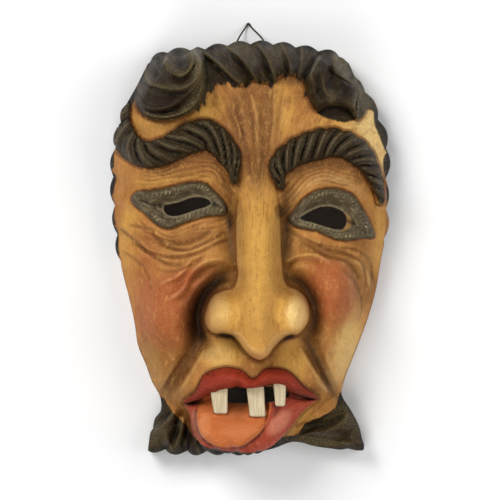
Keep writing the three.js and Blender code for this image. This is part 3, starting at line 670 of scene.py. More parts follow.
# The crisp crests of the curls and of the locks under the jaw.
HAIR_CRESTS = (
    # the mouth of the left curl's spiral
    (((-52.5, 122.5), (-50.5, 117), (-47, 114)), -1, 1.5, 3, 1.5, 1.4, 0.2),
    # the parting and the ridge of the right curl
    (((50, 130), (45.5, 121), (44, 112), (44.5, 102.5), (48, 96), (50.5, 91.5)), 1, 2.2, 7, 1.6, 3.4, 0.3),
    (((69, 107), (69.5, 98), (69, 88)), -1, 2, 5, 1.2, 2),
    # the left lock under the jaw
    (((-47, -108), (-41.5, -110.5), (-41.5, -118.5), (-43.5, -125.5), (-47.5, -134)), -1, 3, 9, 2, 3, 0.12),
    (((-50, -105), (-56, -112), (-61.5, -117), (-67.5, -121)), 1, 3, 6, 2, 2, 0.15),
    (((-60, -118), (-57.5, -124), (-55.5, -129.5), (-52, -136)), 1, 1.2, 7, 0.8, 2.6, 0.15),
    (((-35, -120), (-33.5, -127), (-31.5, -136)), -1, 1.8, 5, 1.5, 1.8, 0.15),
    # the right lock under the jaw
    (((62, -103), (59.5, -111), (50.5, -116.5), (40.5, -118.5), (31, -121.5)), 1, 4.2, 6, 3, 2.2, 0.14),
    (((74, -124), (61.5, -125.5), (48, -124), (34.5, -121.5)), 1, 3.2, 6, 2.4, 2.2, 0.14),
    (((76, -112), (70, -116), (64, -121)), 1, 1.6, 5, 1, 1.8, 0.2),
)

# The steps of the snail-like curl on the left temple, from its foot to the eye of its spiral: the line round
# each, then its sizes as for a Tier.
LEFT_CURL = (
    (((-75.5, 106.5), (-75.5, 99.5), (-74, 91.5), (-69.5, 86), (-63.5, 83), (-55.5, 82), (-47, 83.5),
        (-39, 87), (-33, 92.5), (-30, 99), (-28.5, 106.5), (-28.5, 114.5), (-30, 122), (-33, 128.5),
        (-39, 137.5), (-65, 137.5), (-77, 124)), 11, 1.4, 3.8),
    (((-74.5, 99.5), (-71.5, 93), (-67, 89.5), (-59.5, 88), (-53.5, 89), (-46.5, 92), (-40.5, 97),
        (-35.5, 102), (-31, 108), (-30, 114), (-30.5, 120), (-33.5, 126), (-38.5, 134), (-45.5, 138),
        (-65, 138), (-76, 118)), 9, 4.4, 2.6),
    (((-69.5, 122), (-70, 115.5), (-69, 109), (-65, 105), (-60, 103), (-53.5, 101), (-47, 100.5),
        (-41, 101.5), (-36, 104.5), (-32, 109), (-30, 115.5), (-30, 122), (-33.5, 128), (-38, 134.5),
        (-52, 138.5), (-65, 133)), 10, 4.8, 2.8),
    (((-65.5, 122), (-66, 114), (-62, 108), (-58, 111), (-57.5, 119), (-59, 127), (-63, 128)), -3.5, 0,
        4.5),
    (((-56.5, 128.5), (-57, 123.5), (-55.5, 119), (-53.5, 114.5), (-49.5, 110.5), (-44, 109.5), (-39.5, 112),
        (-36.5, 116.5), (-35, 121.5), (-36.5, 127), (-40.5, 130.5), (-47, 133.5), (-53.5, 133)), 6, 1.8, 2.6),
    (((-49, 119.5), (-46, 123.5), (-41.5, 123), (-40.5, 118.5), (-44.5, 116)), -5, 0, 4),
)

# The curl on the right temple, the crest across it and the lock beside it.
RIGHT_CURL = (
    (((49, 134), (42.5, 121), (38.5, 114.5), (35, 108.5), (36, 101.5), (39.5, 93), (43.5, 88), (47.5, 89.5),
        (52.5, 91.5), (59, 91), (65, 88.5), (67.5, 84.5), (69.5, 83), (71, 89.5), (71.5, 99.5), (71, 110),
        (68, 122), (62.5, 136)), 12, 1.5, 6.5, 0),
    (((53, 115), (57, 111), (63, 108.5), (68, 104.5), (69, 99.5), (71.5, 106), (71, 110), (67, 121),
        (62.5, 132), (57, 130), (54.5, 123.5), (53, 119)), 6, 1.8, 2.2),
    (((52, 112), (50, 104), (54, 97), (61, 97), (66, 102), (60, 107)), -2.5, 0, 5),
    (((71, 110), (77, 105.5), (81, 98.5), (82.5, 93), (83.5, 89), (76, 90.5), (75, 87), (69.5, 83), (69, 92),
        (70, 102)), 7, 1, 4.5, 0.3),
)


@dataclass
class Carving:
    """The carved front of the mask as a height over the back rim.

    Attributes:
        side_wall: height of the upright edge round the rim.
        hair_base: height of the hair below the jaw.
        eye_socket: how deep the eyes sit in the face.
        lid_rise: how far the lids stand out of the sockets.
        brow_rise: how far the brows stand out.
    """

    side_wall: float = 16.0
    hair_base: float = 27.0
    eye_socket: float = 7.0
    lid_rise: float = 8.0
    brow_rise: float = 11.0
    strand_share: float = 0.4
    crown: Profile = Profile(
        ((-132, 40), (-112, 47), (-85, 53), (0, 53), (40, 55), (75, 57), (105, 53), (135, 46)),
    )
    face_edge: Profile = Profile(((-130, 20), (-90, 27), (-20, 32), (60, 31), (110, 27)))
    nose_ridge: Profile = Profile(((-72, 33), (-64, 38), (-52, 42), (-24, 33), (6, 21), (38, 4), (56, 0)))
    nose_drop: Profile = Profile(((-72, 5), (-60, 9), (-48, 20), (-30, 17), (-8, 8), (30, 2)))
    nose_edge: Profile = Profile(((-68, 5), (-57, 5), (-46, 9), (-28, 11), (-8, 12), (30, 13)))
    tongue_top: Profile = Profile(((-129, 65), (-120, 66), (-108, 60), (-99, 52)))
    mouth_floor: float = 50.0
    upper_roll: Roll = Roll(60, 0.008, 14, 8)
    lower_roll: Roll = Roll(48, 0.006, 13, 12)
    outline: Outline = field(default_factory=Outline)

    def __post_init__(self) -> None:
        """Draws every line of the face."""
        self.nose_plan = drawn_line(*NOSE_PLAN)
        self.wings = (Mound((-19, -42), (15, 17), 11), Mound((29.5, -41.5), (15, 17), 11))
        self.mounds = self._mounds()
        self.furrows = [Furrow(*row) for row in FOLDS]
        self.wrinkles = [Furrow(*row, WRINKLE_ENDS) for row in WRINKLES]
        self.eyes = self._eyes()
        self.brows = self._brows()
        self.upper_lip = drawn_line(*UPPER_LIP)
        self.lower_lip = drawn_line(*LOWER_LIP)
        self.tongue = drawn_line(*TONGUE)
        self.rolls, self.skin_crests, self.hair_crests = (
            [Crest(*row) for row in rows] for rows in (ROLLS, SKIN_CRESTS, HAIR_CRESTS)
        )
        self.hairline = drawn_line(*HAIRLINE)
        self.tiers = [Tier(drawn_line(*edge), *sizes) for edge, *sizes in LEFT_CURL + RIGHT_CURL]

    def _mounds(self) -> list[Mound]:
        """The swellings and hollows of the face."""
        return [
            Mound((-41, 28), (44, 26), -self.eye_socket, 6),  # left eye socket
            Mound((52, 20), (40, 29), -self.eye_socket, -12),  # right eye socket
            Mound((4, 66), (24, 44), 4),  # frown between the brows
            Mound((-55, -42), (26, 36), 12, -20),  # left cheek
            Mound((-56.5, -50.5), (4, 4), -1.2),  # its dimple
            Mound((-60, -82), (17, 24), 6),  # left jowl
            Mound((54, -28), (23, 32), 13, 8),  # right cheek
            Mound((55, -76), (16, 26), 6, -14),  # right jowl
            Mound((2, -86), (48, 34), 11),  # muzzle
        ]

    @staticmethod
    def _eyes() -> list[Eye]:
        """The lids and slots of both eyes."""
        return [
            Eye(drawn_line(*lids), drawn_line(*slot), tuple(Furrow(*row, CREASE_ENDS) for row in creases))
            for lids, slot, creases in (
                (LEFT_LIDS, LEFT_SLOT, LEFT_CREASES), (RIGHT_LIDS, RIGHT_SLOT, RIGHT_CREASES),
            )
        ]

    @staticmethod
    def _brows() -> list[Brow]:
        """The ropes of hair over both eyes."""
        return [
            Brow(
                Line(LEFT_BROW),
                Profile(((0, 5), (0.2, 8.5), (0.45, 9), (0.65, 10.5), (0.85, 8), (1, 3))),
                11, Profile(((0, 0.5), (0.35, 0.8), (0.6, 1.0), (0.85, 1.7), (1, 2))), 0.08,
            ),
            Brow(
                Line(RIGHT_BROW),
                Profile(((0, 3), (0.15, 8), (0.4, 9.8), (0.65, 8.5), (0.85, 5), (1, 2.5))),
                13, Profile(((0, -1.4), (0.25, -0.9), (0.6, -0.7), (1, -0.5))), 0.2,
            ),
        ]

    def head(self, survey: Survey) -> Array:
        """The plain dome of the head, with the hair mass under the jaw.

        Args:
            survey: the places.

        Returns:
            The heights over the rim.
        """
        in_face = survey.near(self.outline.face).depth
        top = self.crown.at(survey.y) * (1 - 0.16 * (survey.x / 90) ** 2)
        roll = 1 - (1 - np.clip(in_face / self.face_edge.at(survey.y), 0, 1)) ** 2.3
        skull = np.where(in_face > 0, mix(self.side_wall, top, roll), self.side_wall + 1.5 * in_face)
        in_hair = np.clip(survey.near(self.outline.whole).depth / 13, 0, 1)
        hair = mix(self.side_wall, self.hair_base, 1 - (1 - in_hair) ** 2.3)
        return smooth_max(skull, hair, 3)

    def nose(self, survey: Survey, skin: Array) -> Array:
        """Raises the broad bridge, the drooping tip and the two wings over the skin.

        Args:
            survey: the places.
            skin: the heights of the face round the nose.

        Returns:
            The heights with the nose.
        """
        x, y = survey.x, survey.y
        off = 1 - np.exp(-(((x - 5.4) / mix(13.5, 10.5, ease(-50, -66, y))) ** 2))
        top = self.nose_ridge.at(y) - self.nose_drop.at(y) * off
        top = top + sum(wing.height(survey) for wing in self.wings)
        return skin + np.maximum(top, 0) * cushion(survey.near(self.nose_plan).depth, self.nose_edge.at(y))

    def mouth(self, survey: Survey, skin: Array) -> Array:
        """Lays the lips and the lolling tongue on the face.

        Args:
            survey: the places.
            skin: the heights of the face round the mouth.

        Returns:
            The heights with the mouth.
        """
        z, x = skin, survey.x
        lower = survey.near(self.lower_lip).depth
        laid = np.maximum(mix(z, self.mouth_floor, ease(0, 8, lower)), self.lower_roll.height(x, lower))
        z = np.where(lower > 0, laid, z)
        upper = survey.near(self.upper_lip).depth
        z = np.where(upper > 0, smooth_max(z, self.upper_roll.height(x, upper), 3), z)
        depth = survey.near(self.tongue).depth
        top = self.tongue_top.at(survey.y) - 6 * (1 - cushion(depth, 5))
        return np.where(depth > 0, np.maximum(mix(z, self.mouth_floor, ease(0, 4, depth)), top), z)

    def fine_rings(self, survey: Survey) -> Array:
        """The fine wrinkles that run round both eyes, between the lids and the brows.

        Args:
            survey: the places.

        Returns:
            Their depth at each place.
        """
        out = np.minimum(-np.max([survey.near(eye.lids).depth for eye in self.eyes], axis=0), 40)
        x, y = survey.x, survey.y
        wander = 1.5 * np.sin(x / 9.3 + y / 7.0) + 0.8 * np.sin(x / 3.9 - y / 6.3)
        zone = ease(1.5, 3.5, out) * ease(20, 9, out) * ease(-4, 10, np.abs(x - 5) - 12)
        zone = zone * ease(6, 24, y - 0.12 * x) * ease(80, 62, np.abs(x))
        zone = zone * (0.65 + 0.35 * np.sin(x / 5.1) * np.sin(y / 3.7))
        return 1.1 * zone * (1 - np.abs(np.sin(np.pi * (out + wander) / 3.0))) ** 1.5

    def front(self, survey: Survey) -> Array:
        """The height of the carved front over the rim at each place.

        Args:
            survey: the places.

        Returns:
            The heights, in millimetres.
        """
        z = self.head(survey)
        z = z + sum(mound.height(survey) for mound in self.mounds)
        z = z - sum(furrow.cut(survey) for furrow in self.furrows + self.wrinkles)
        z = z + sum(crest.height(survey) for crest in self.skin_crests) - self.fine_rings(survey)
        z = z + sum(eye.height(survey, self.lid_rise) for eye in self.eyes)
        z = self.nose(survey, z)
        shape = self.brow_rise, self.strand_share
        z = z + np.maximum(*(brow.height(survey.near(brow.line), *shape) for brow in self.brows))
        z = self.mouth(survey, z)
        edge_fade = ease(0, 10, survey.near(self.outline.whole).depth)
        in_hair = survey.near(self.hairline).depth
        z = z + cushion(in_hair, 5) * (2.5 + sum(roll.height(survey) for roll in self.rolls) * edge_fade)
        z = z + sum(tier.height(survey) for tier in self.tiers) * edge_fade
        return z + sum(crest.height(survey) for crest in self.hair_crests) * edge_fade


class Board:
    """The carved front worked out on a fine square grid, to be read quickly at any place."""

    half = (104.0, 148.0)  # half its width and half its height

    def __init__(self, carving: Carving, step: float = 0.5) -> None:
        """Works out the height at every point of the grid.

        Args:
            carving: the front to work out.
            step: the distance between two points of the grid.
        """
        self.step, self.low = step, (-self.half[0], -self.half[1])
        xs, ys = (np.arange(-half, half, step) for half in self.half)
        grid_x, grid_y = np.meshgrid(xs, ys, indexing="ij")
        self.shape = grid_x.shape
        self.z = carving.front(Survey(grid_x.ravel(), grid_y.ravel())).reshape(self.shape)

    def read(self, x: Array, y: Array, values: Array | None = None) -> Array:
        """Reads the height, or another grid of values, between the points of the grid.

        Args:
            x: the places across.
            y: the places up the face.
            values: the other grid, of the same shape.

        Returns:
            The value at each place.
        """
        grid = self.z if values is None else values
        u = np.clip((x - self.low[0]) / self.step, 0, self.shape[0] - 1.001)
        v = np.clip((y - self.low[1]) / self.step, 0, self.shape[1] - 1.001)
        i, j = u.astype(int), v.astype(int)
        s, t = u - i, v - j
        low = mix(grid[i, j], grid[i + 1, j], s)
        return mix(low, mix(grid[i, j + 1], grid[i + 1, j + 1], s), t)

    def blurred(self, radius: float) -> Array:
        """The heights smoothed over a radius, by three passes of a running mean.

        Args:
            radius: how far the smoothing reaches.

        Returns:
            A grid of the same shape.
        """
        half = max(1, round(radius / self.step / 1.7))
        grid = self.z
        for axis in (0, 1) * 3:
            padded = np.concatenate([np.repeat(np.take(grid, [0], axis), half + 1, axis), grid,
                                     np.repeat(np.take(grid, [-1], axis), half, axis)], axis)
            total = np.cumsum(padded, axis)
            n = grid.shape[axis]
            high = np.take(total, np.arange(n) + 2 * half + 1, axis)
            grid = (high - np.take(total, np.arange(n), axis)) / (2 * half + 1)
        return grid


class Spread:
    """Spreads the points of a grid evenly over a carved surface, so that steep walls get their share."""

    haste = 0.6  # the share of the way that a point goes in one round

    def __init__(self, edges: Sequence[Line], height: Callable[[Array, Array], Array]) -> None:
        """Keeps the four sides, clockwise from the lower left corner, and the surface's height."""
        self.edges, self.height = edges, height

    def patch(self, cells: tuple[int, int]) -> Array:
        """Lays an even grid between the four sides.

        Args:
            cells: the number of cells across and up.

        Returns:
            The places of its points, as (across, up, 2).
        """
        left, top, right, bottom = self.edges
        u = np.linspace(0, 1, cells[0] + 1)[:, None, None]
        v = np.linspace(0, 1, cells[1] + 1)[None, :, None]
        lower_left, upper_left = left.at(0.0), left.at(1.0)
        upper_right, lower_right = right.at(0.0), right.at(1.0)
        rows = (1 - u) * left.at(v[0, :, 0])[None] + u * right.at(1 - v[0, :, 0])[None]
        columns = (1 - v) * bottom.at(1 - u[:, 0, 0])[:, None] + v * top.at(u[:, 0, 0])[:, None]
        left_corners = (1 - v) * lower_left + v * upper_left
        right_corners = (1 - v) * lower_right + v * upper_right
        return rows + columns - ((1 - u) * left_corners + u * right_corners)

    def settle(self, place: Array, rounds: int) -> Array:
        """Draws each inner point towards its neighbours, more strongly where they are far in space.

        Args:
            place: the grid's places.
            rounds: how often to do it.

        Returns:
            The settled places.
        """
        for _ in range(rounds):
            solid = np.dstack([place, self.height(place[..., 0], place[..., 1])])
            middle = solid[1:-1, 1:-1]
            total, weight = np.zeros(middle[..., :2].shape), np.zeros(middle.shape[:2])
            for other in (solid[2:, 1:-1], solid[:-2, 1:-1], solid[1:-1, 2:], solid[1:-1, :-2]):
                half = (middle + other) / 2
                w = self.pull(half[..., 0], half[..., 1]) * np.linalg.norm(middle - other, axis=2)
                weight += w
                total += w[..., None] * other[..., :2]
            place = place.copy()
            place[1:-1, 1:-1] = mix(middle[..., :2], total / weight[..., None], self.haste)
        return place

    @staticmethod
    def pull(x: Array, y: Array) -> Array:
        """How strongly the points gather: most round the nose and the mouth, and some in the hair."""
        return 1 + ease(95, 40, np.hypot(x * 1.3, y + 45)) + 0.6 * ease(60, 90, y)

    @staticmethod
    def refined(place: Array, cells: tuple[int, int]) -> Array:
        """The same grid with more cells.

        Args:
            place: the grid's places.
            cells: the new number of cells across and up.

        Returns:
            The places of the finer grid.
        """
        for axis in (0, 1):
            old = np.linspace(0, 1, place.shape[axis])
            new = np.linspace(0, 1, cells[axis] + 1)
            i = np.clip(np.searchsorted(old, new, side="right") - 1, 0, len(old) - 2)
            t = ((new - old[i]) / (old[i + 1] - old[i])).reshape([-1 if k == axis else 1 for k in range(3)])
            place = mix(np.take(place, i, axis), np.take(place, i + 1, axis), t)
        return place


def to_metres(x: float, y: float, z: float) -> Vector:
    """A place on the face as a point of the finished model."""
    return Vector(((x - MIDDLE[0]) * MM, (y - MIDDLE[1]) * MM, z * MM))


def new_object(name: str, shape: Shape, *materials: Material) -> Piece:
    """Puts a finished shape into the scene.

    Args:
        name: the piece's name.
        shape: its mesh, which is used up.
        materials: its finishes.

    Returns:
        The new object.
    """
    mesh = bpy.data.meshes.new(name)
    shape.to_mesh(mesh)
    shape.free()
    for material in materials:
        mesh.materials.append(material)
    piece = bpy.data.objects.new(name, mesh)
    bpy.context.collection.objects.link(piece)
    return piece


class WoodSide(Enum):
    """The material slots of the mask's wood."""

    PAINTED = 0
    BARE = 1


# The slot behind the teeth, cut right through.
MOUTH_SLOT = (
    (-26, -96), (-20, -92), (-8, -90), (0, -90.5), (12, -89.5), (22, -92), (26, -95), (20, -98.5),
    (8, -100.5), (-4, -101), (-15, -100),
)


@dataclass
class MaskWood:
    """The block of wood: carved in front, hollowed behind, with its openings cut through.

    Attributes:
        carving: its front.
        finishes: the paint of the front and the bare wood of the hollow.
        cells: how finely the front is meshed, across and up.
        hollow_cells: how finely the hollow is meshed.
        wall: thickness of the carved shell.
        fit_gap: clearance round each tooth.
    """

    carving: Carving
    finishes: tuple[Material, Material]
    cells: tuple[int, int] = (228, 324)
    coarse: tuple[int, int] = (48, 68)
    hollow_cells: tuple[int, int] = (62, 88)
    wall_rows: int = 5
    wall: float = 10.0
    lowest_roof: float = 8.0
    fit_gap: float = 0.3
    nostrils: tuple[Place, ...] = ((-15.8, -57.2, 66), (26.5, -57.5, 66))
    nostril_size: Place = (5.5, 2.6, 6)
    wire_holes: Point = WIRE_HOLES
    hole_radius: float = 1.05
    hole_ends: Point = (128, 144)  # inside the hollow and beyond the edge
    lean: float = 0.25  # how far the scallops lean along the outline as they rise
    crown: float = 300.0  # the place along the outline past which they lean the other way
    crease: float = 50.0  # degrees past which an edge is sharp
    rounds: tuple[int, int, int] = (26, 30, 12)  # for the coarse front, the fine front and the hollow

    def __post_init__(self) -> None:
        """Works the front out once, and draws the slot behind the teeth."""
        self.board = Board(self.carving)
        self.mouth = drawn_line(*MOUTH_SLOT)

    def build(self, teeth: Sequence["Tooth"]) -> Piece:
        """Makes the whole mask.

        Args:
            teeth: the pegs that need a socket.

        Returns:
            The mask as one closed mesh.
        """
        slots = [eye.slot for eye in self.carving.eyes] + [self.mouth]
        mask = new_object("mask_wood", self._block(), *self.finishes)
        cutters = [self._hollow()] + [self._slot(line) for line in slots]
        cutters += [self._nostril(at) for at in self.nostrils]
        cutters += [new_object("socket", tooth.peg(self.fit_gap, 1), *self.finishes) for tooth in teeth]
        cutters += [self._wire_hole(x) for x in self.wire_holes]
        for cutter in cutters:
            cut = mask.modifiers.new(cutter.name, "BOOLEAN")
            cut.operation, cut.solver, cut.object = "DIFFERENCE", "MANIFOLD", cutter
        graph = bpy.context.evaluated_depsgraph_get()
        carved = bpy.data.meshes.new_from_object(mask.evaluated_get(graph))
        mask.modifiers.clear()
        mask.data = carved
        for cutter in cutters:
            bpy.data.objects.remove(cutter, do_unlink=True)
        carved.shade_smooth()
        carved.set_sharp_from_angle(angle=math.radians(self.crease))
        self._measure(carved)
        log.info("mask: %d faces, %d corners", len(carved.polygons), len(carved.vertices))
        return mask

    def _grid(self, cells: tuple[int, int], points: Array, floor: float) -> Shape:
        """A closed block whose top is a grid of points, with upright sides and a flat foot.

        Args:
            cells: the number of cells across and up.
            points: the places and heights of the grid's points, as (across, up, 3).
            floor: the height of the foot.

        Returns:
            The block, with its faces pointing out.
        """
        shape = bmesh.new()
        bmesh.ops.create_grid(shape, x_segments=cells[0], y_segments=cells[1], size=0.5)
        for vertex in shape.verts:
            i, j = round((vertex.co.x + 0.5) * cells[0]), round((vertex.co.y + 0.5) * cells[1])
            vertex.co = to_metres(*points[i, j])
        rim = [edge for edge in shape.edges if edge.is_boundary]
        for row in range(self.wall_rows):
            made = bmesh.ops.extrude_edge_only(shape, edges=rim)
            lowered = [item for item in made["geom"] if isinstance(item, bmesh.types.BMVert)]
            for vertex in lowered:
                vertex.co.z = mix(vertex.co.z, floor * MM, 1 / (self.wall_rows - row))
            edges = [item for item in made["geom"] if isinstance(item, bmesh.types.BMEdge)]
            rim = [edge for edge in edges if edge.is_boundary]
        bmesh.ops.triangle_fill(shape, use_beauty=True, edges=rim, normal=(0, 0, -1))
        bmesh.ops.recalc_face_normals(shape, faces=shape.faces)
        return shape

    def _block(self) -> Shape:
        """The uncut block with the carved front.

        Returns:
            The block, in metres.
        """
        spread = Spread(self.carving.outline.sides, self.board.read)
        place = spread.settle(spread.patch(self.coarse), self.rounds[0])
        place = spread.settle(Spread.refined(place, self.cells), self.rounds[1])
        height = self.carving.front(Survey(place[..., 0].ravel(), place[..., 1].ravel()))
        points = np.dstack([place, height.reshape(place.shape[:2])])
        return self._grid(self.cells, self._scalloped(points), 0.0)

    def _scalloped(self, points: Array) -> Array:
        """Moves the points out along the surface's own normals by the swell of the locks there.

        Args:
            points: the grid's points, as (across, up, 3).

        Returns:
            The moved points.
        """
        across, up = np.gradient(points, axis=0), np.gradient(points, axis=1)
        normal = np.cross(across, up)
        for edge in (np.s_[0, :], np.s_[-1, :], np.s_[:, 0], np.s_[:, -1]):
            normal[edge][..., 2] = 0
        normal /= np.linalg.norm(normal, axis=2, keepdims=True)
        x, y, z = (points[..., k].ravel() for k in range(3))
        near = self.carving.outline.whole.near(x, y)
        place = near.along * self.carving.outline.whole.length
        lean = np.where(place < self.crown, self.lean, -self.lean)
        swell = sum(row.swell(place, z, lean) for row in SCALLOPS) * ease(14, 5, near.depth)
        return points + normal * swell.reshape(points.shape[:2])[..., None]

    def _inset(self, side: Line) -> Line:
        """The line of a side moved inwards by the wall, for the edge of the hollow.

        Args:
            side: one side of the outline.

        Returns:
            The moved line.
        """
        path = side.path
        run = np.gradient(path, axis=0)
        run /= np.linalg.norm(run, axis=1, keepdims=True)
        moved = path + self.wall * np.stack([run[:, 1], -run[:, 0]], axis=1)
        moved[0] += run[0] * self.wall
        moved[-1] -= run[-1] * self.wall
        kept = [k for k in range(len(path)) if k % 6 == 0 or k == len(path) - 1]
        return Line([tuple(moved[k]) for k in kept])

    def _roof(self, x: Array, y: Array) -> Array:
        """The roof of the hollow, which keeps the same distance from the carved front everywhere.

        Args:
            x: the places across.
            y: the places up the face.

        Returns:
            Its heights over the rim.
        """
        low = np.full(x.shape, FAR)
        for share in (0.0, 0.6, 1.0):
            for k in range(8 if share else 1):
                dx, dy = (self.wall * share * f(k * math.pi / 4) for f in (math.cos, math.sin))
                under = self.wall * math.sqrt(1 - share * share)
                low = np.minimum(low, self.board.read(x + dx, y + dy) - under)
        return np.maximum(self.lowest_roof, low)

    def _gouged(self, x: Array, y: Array) -> Array:
        """The marks that a gouge leaves in the hollow."""
        row = np.sin(x / 2.9 + 0.6 * np.sin(y / 17.0))
        return 0.45 * np.abs(row) * (0.6 + 0.4 * np.sin(y / 4.7 + 2.2 * np.floor(x / 9.1)))

    def _hollow(self) -> Piece:
        """The block that is taken out of the back.

        Returns:
            The cutter.
        """
        edges = [self._inset(side) for side in self.carving.outline.sides]
        spread = Spread(edges, self._roof)
        place = spread.settle(spread.patch(self.hollow_cells), self.rounds[2])
        roof = self._roof(place[..., 0], place[..., 1]) + self._gouged(place[..., 0], place[..., 1]) - 0.5
        shape = self._grid(self.hollow_cells, np.dstack([place, roof]), THROUGH[0])
        return self._cutter("hollow", shape)

    def _cutter(self, name: str, shape: Shape) -> Piece:
        """A cutter whose faces leave bare wood behind."""
        for face in shape.faces:
            face.material_index = WoodSide.BARE.value
        return new_object(name, shape, *self.finishes)

    def _slot(self, line: Line) -> Piece:
        """A straight-sided cutter on a closed line.

        Args:
            line: the edge of the slot.

        Returns:
            The cutter.
        """
        shape = bmesh.new()
        corners = line.path[:-1]
        made = bmesh.ops.create_circle(shape, cap_ends=True, segments=len(corners), radius=1)
        for vertex, place in zip(made["verts"], corners):
            vertex.co = to_metres(*place, THROUGH[0])
        raised = bmesh.ops.extrude_face_region(shape, geom=list(shape.faces))
        top = [item for item in raised["geom"] if isinstance(item, bmesh.types.BMVert)]
        bmesh.ops.translate(shape, verts=top, vec=(0, 0, (THROUGH[1] - THROUGH[0]) * MM))
        bmesh.ops.recalc_face_normals(shape, faces=shape.faces)
        return self._cutter("slot", shape)

    def _nostril(self, at: Place) -> Piece:
        """A rounded cutter for a nostril.

        Args:
            at: its middle.

        Returns:
            The cutter.
        """
        shape = bmesh.new()
        bmesh.ops.create_uvsphere(shape, u_segments=20, v_segments=12, radius=1)
        for vertex in shape.verts:
            vertex.co = to_metres(*(at[k] + vertex.co[k] * self.nostril_size[k] for k in range(3)))
        return new_object("nostril", shape, *self.finishes)

    def _wire_hole(self, x: float) -> Piece:
        """A drill for one end of the wire.

        Args:
            x: how far across the hole is.

        Returns:
            The cutter.
        """
        radius, (inner, outer) = self.hole_radius * MM, self.hole_ends
        middle = Matrix.Translation(to_metres(x, (inner + outer) / 2, WIRE_HEIGHT))
        shape = bmesh.new()
        bmesh.ops.create_cone(
            shape, cap_ends=True, segments=20, radius1=radius, radius2=radius, depth=(outer - inner) * MM,
            matrix=middle @ Matrix.Rotation(math.pi / 2, 4, "X"),
        )
        return self._cutter("drill", shape)

    def _measure(self, mesh: bpy.types.Mesh) -> None:
        """Writes onto every corner of the mesh how it lies to the patches of paint.

        Args:
            mesh: the mask's finished mesh.
        """
        points = np.empty(len(mesh.vertices) * 3)
        mesh.vertices.foreach_get("co", points)
        x, y, z = (points.reshape(-1, 3) / MM).T
        x, y = x + MIDDLE[0], y + MIDDLE[1]
        for name, values in PaintPlan(self.carving, self.board).marks(Survey(x, y), z).items():
            written = mesh.attributes.new(name, "FLOAT", "POINT")
            written.data.foreach_set("value", np.ascontiguousarray(values, np.float32))


class Tone(Enum):
    """The coats of glazing, painted highlights, sheen and shade that are brushed over the skin."""

    UMBER = "umber"
    OLIVE = "olive"
    ROSE = "rose"
    GOLD = "gold"
    SMUDGE = "smudge"
    PALE = "pale"
    DUST = "dust"
    SHADE = "shade"


class Stroke:
    """A soft stroke of paint along a line."""

    ends = (0.15, 0.85)

    def __init__(self, half: float, strength: float, *points: Point) -> None:
        """Draws the stroke: half its width, its strength at the middle, and its places."""
        self.half, self.strength = half, strength
        self.line = Line(points, reach=3 * half)

    def lay(self, survey: Survey) -> Array:
        """How much paint it leaves at each place."""
        return soft_stroke(survey.near(self.line), self.strength, self.half, self.ends)


@dataclass(frozen=True)
class Blush:
    """A soft round patch of paint."""

    strength: float
    at: Point
    size: Point
    turn: float = 0.0

    def lay(self, survey: Survey) -> Array:
        """How much paint it leaves at each place."""
        return self.strength * ease(1.0, 0.15, survey.turned(self.at, self.size, self.turn))


# The patches of hair round the edge, as closed lines.
HAIR_PATCHES = (
    # left side, from the top
    ((-73, 108), (-74.5, 100), (-78, 91.5), (-82.5, 83), (-86.5, 76.5), (-87.5, 71.5), (-89, 63.5), (-89, 57),
        (-89, 53.5), (-91, 51.5), (-99, 51), (-99, 78), (-92, 104), (-82, 114)),
    ((-90, 49.5), (-87.5, 47), (-88.5, 40.5), (-90, 35), (-91.5, 34), (-99, 33.5), (-99, 50)),
    ((-91, 33), (-89, 28), (-89, 21.5), (-88.5, 15), (-99, 14), (-99, 33.5)),
    ((-88, 14), (-86, 8), (-86, 1.3), (-86, -5), (-98, -6), (-98, 14)),
    # right side, from the top
    ((82, 91), (81, 86), (81.5, 81), (84, 74), (86.5, 68), (89, 63.5), (91.5, 62.5), (99, 63.5), (99, 93)),
    ((89, 62), (87, 52.5), (89, 46), (90.5, 43), (99, 43), (99, 62)),
    ((90.5, 42.5), (89.5, 38.5), (90, 30.5), (93, 26), (99, 26), (99, 42.5)),
    ((91.5, 12), (89, 8), (91.5, 5), (99, 5), (99, 12)),
    # below the jaw
    ((-58, -97.5), (-50.5, -107.5), (-42.5, -115), (-39, -120.5), (-35, -125.5), (-23, -128.5), (0, -131.5),
        (16.5, -125.5), (21.5, -123.5), (32, -121.5), (35, -115.5), (47, -110), (56, -104), (59, -94.5),
        (66.5, -99), (84.5, -112), (84.5, -147.5), (-78, -147.5), (-78, -118.5), (-65, -102)),
    # the crescent under the right curl
    ((43, 88.5), (50, 92.5), (57, 94), (66, 91.5), (69.5, 85), (62, 81.5), (55, 82.5), (48, 85)),
)
HAIR_TIERS = (0, 6, 9)  # the steps of the curls whose whole face is hair

# The ochre corner of the right eye.
INNER_CORNER = (
    (61.5, 23), (64.5, 20.5), (66, 17), (65, 13.5), (62.5, 11.5), (60, 11), (63, 15.5), (63, 19),
)
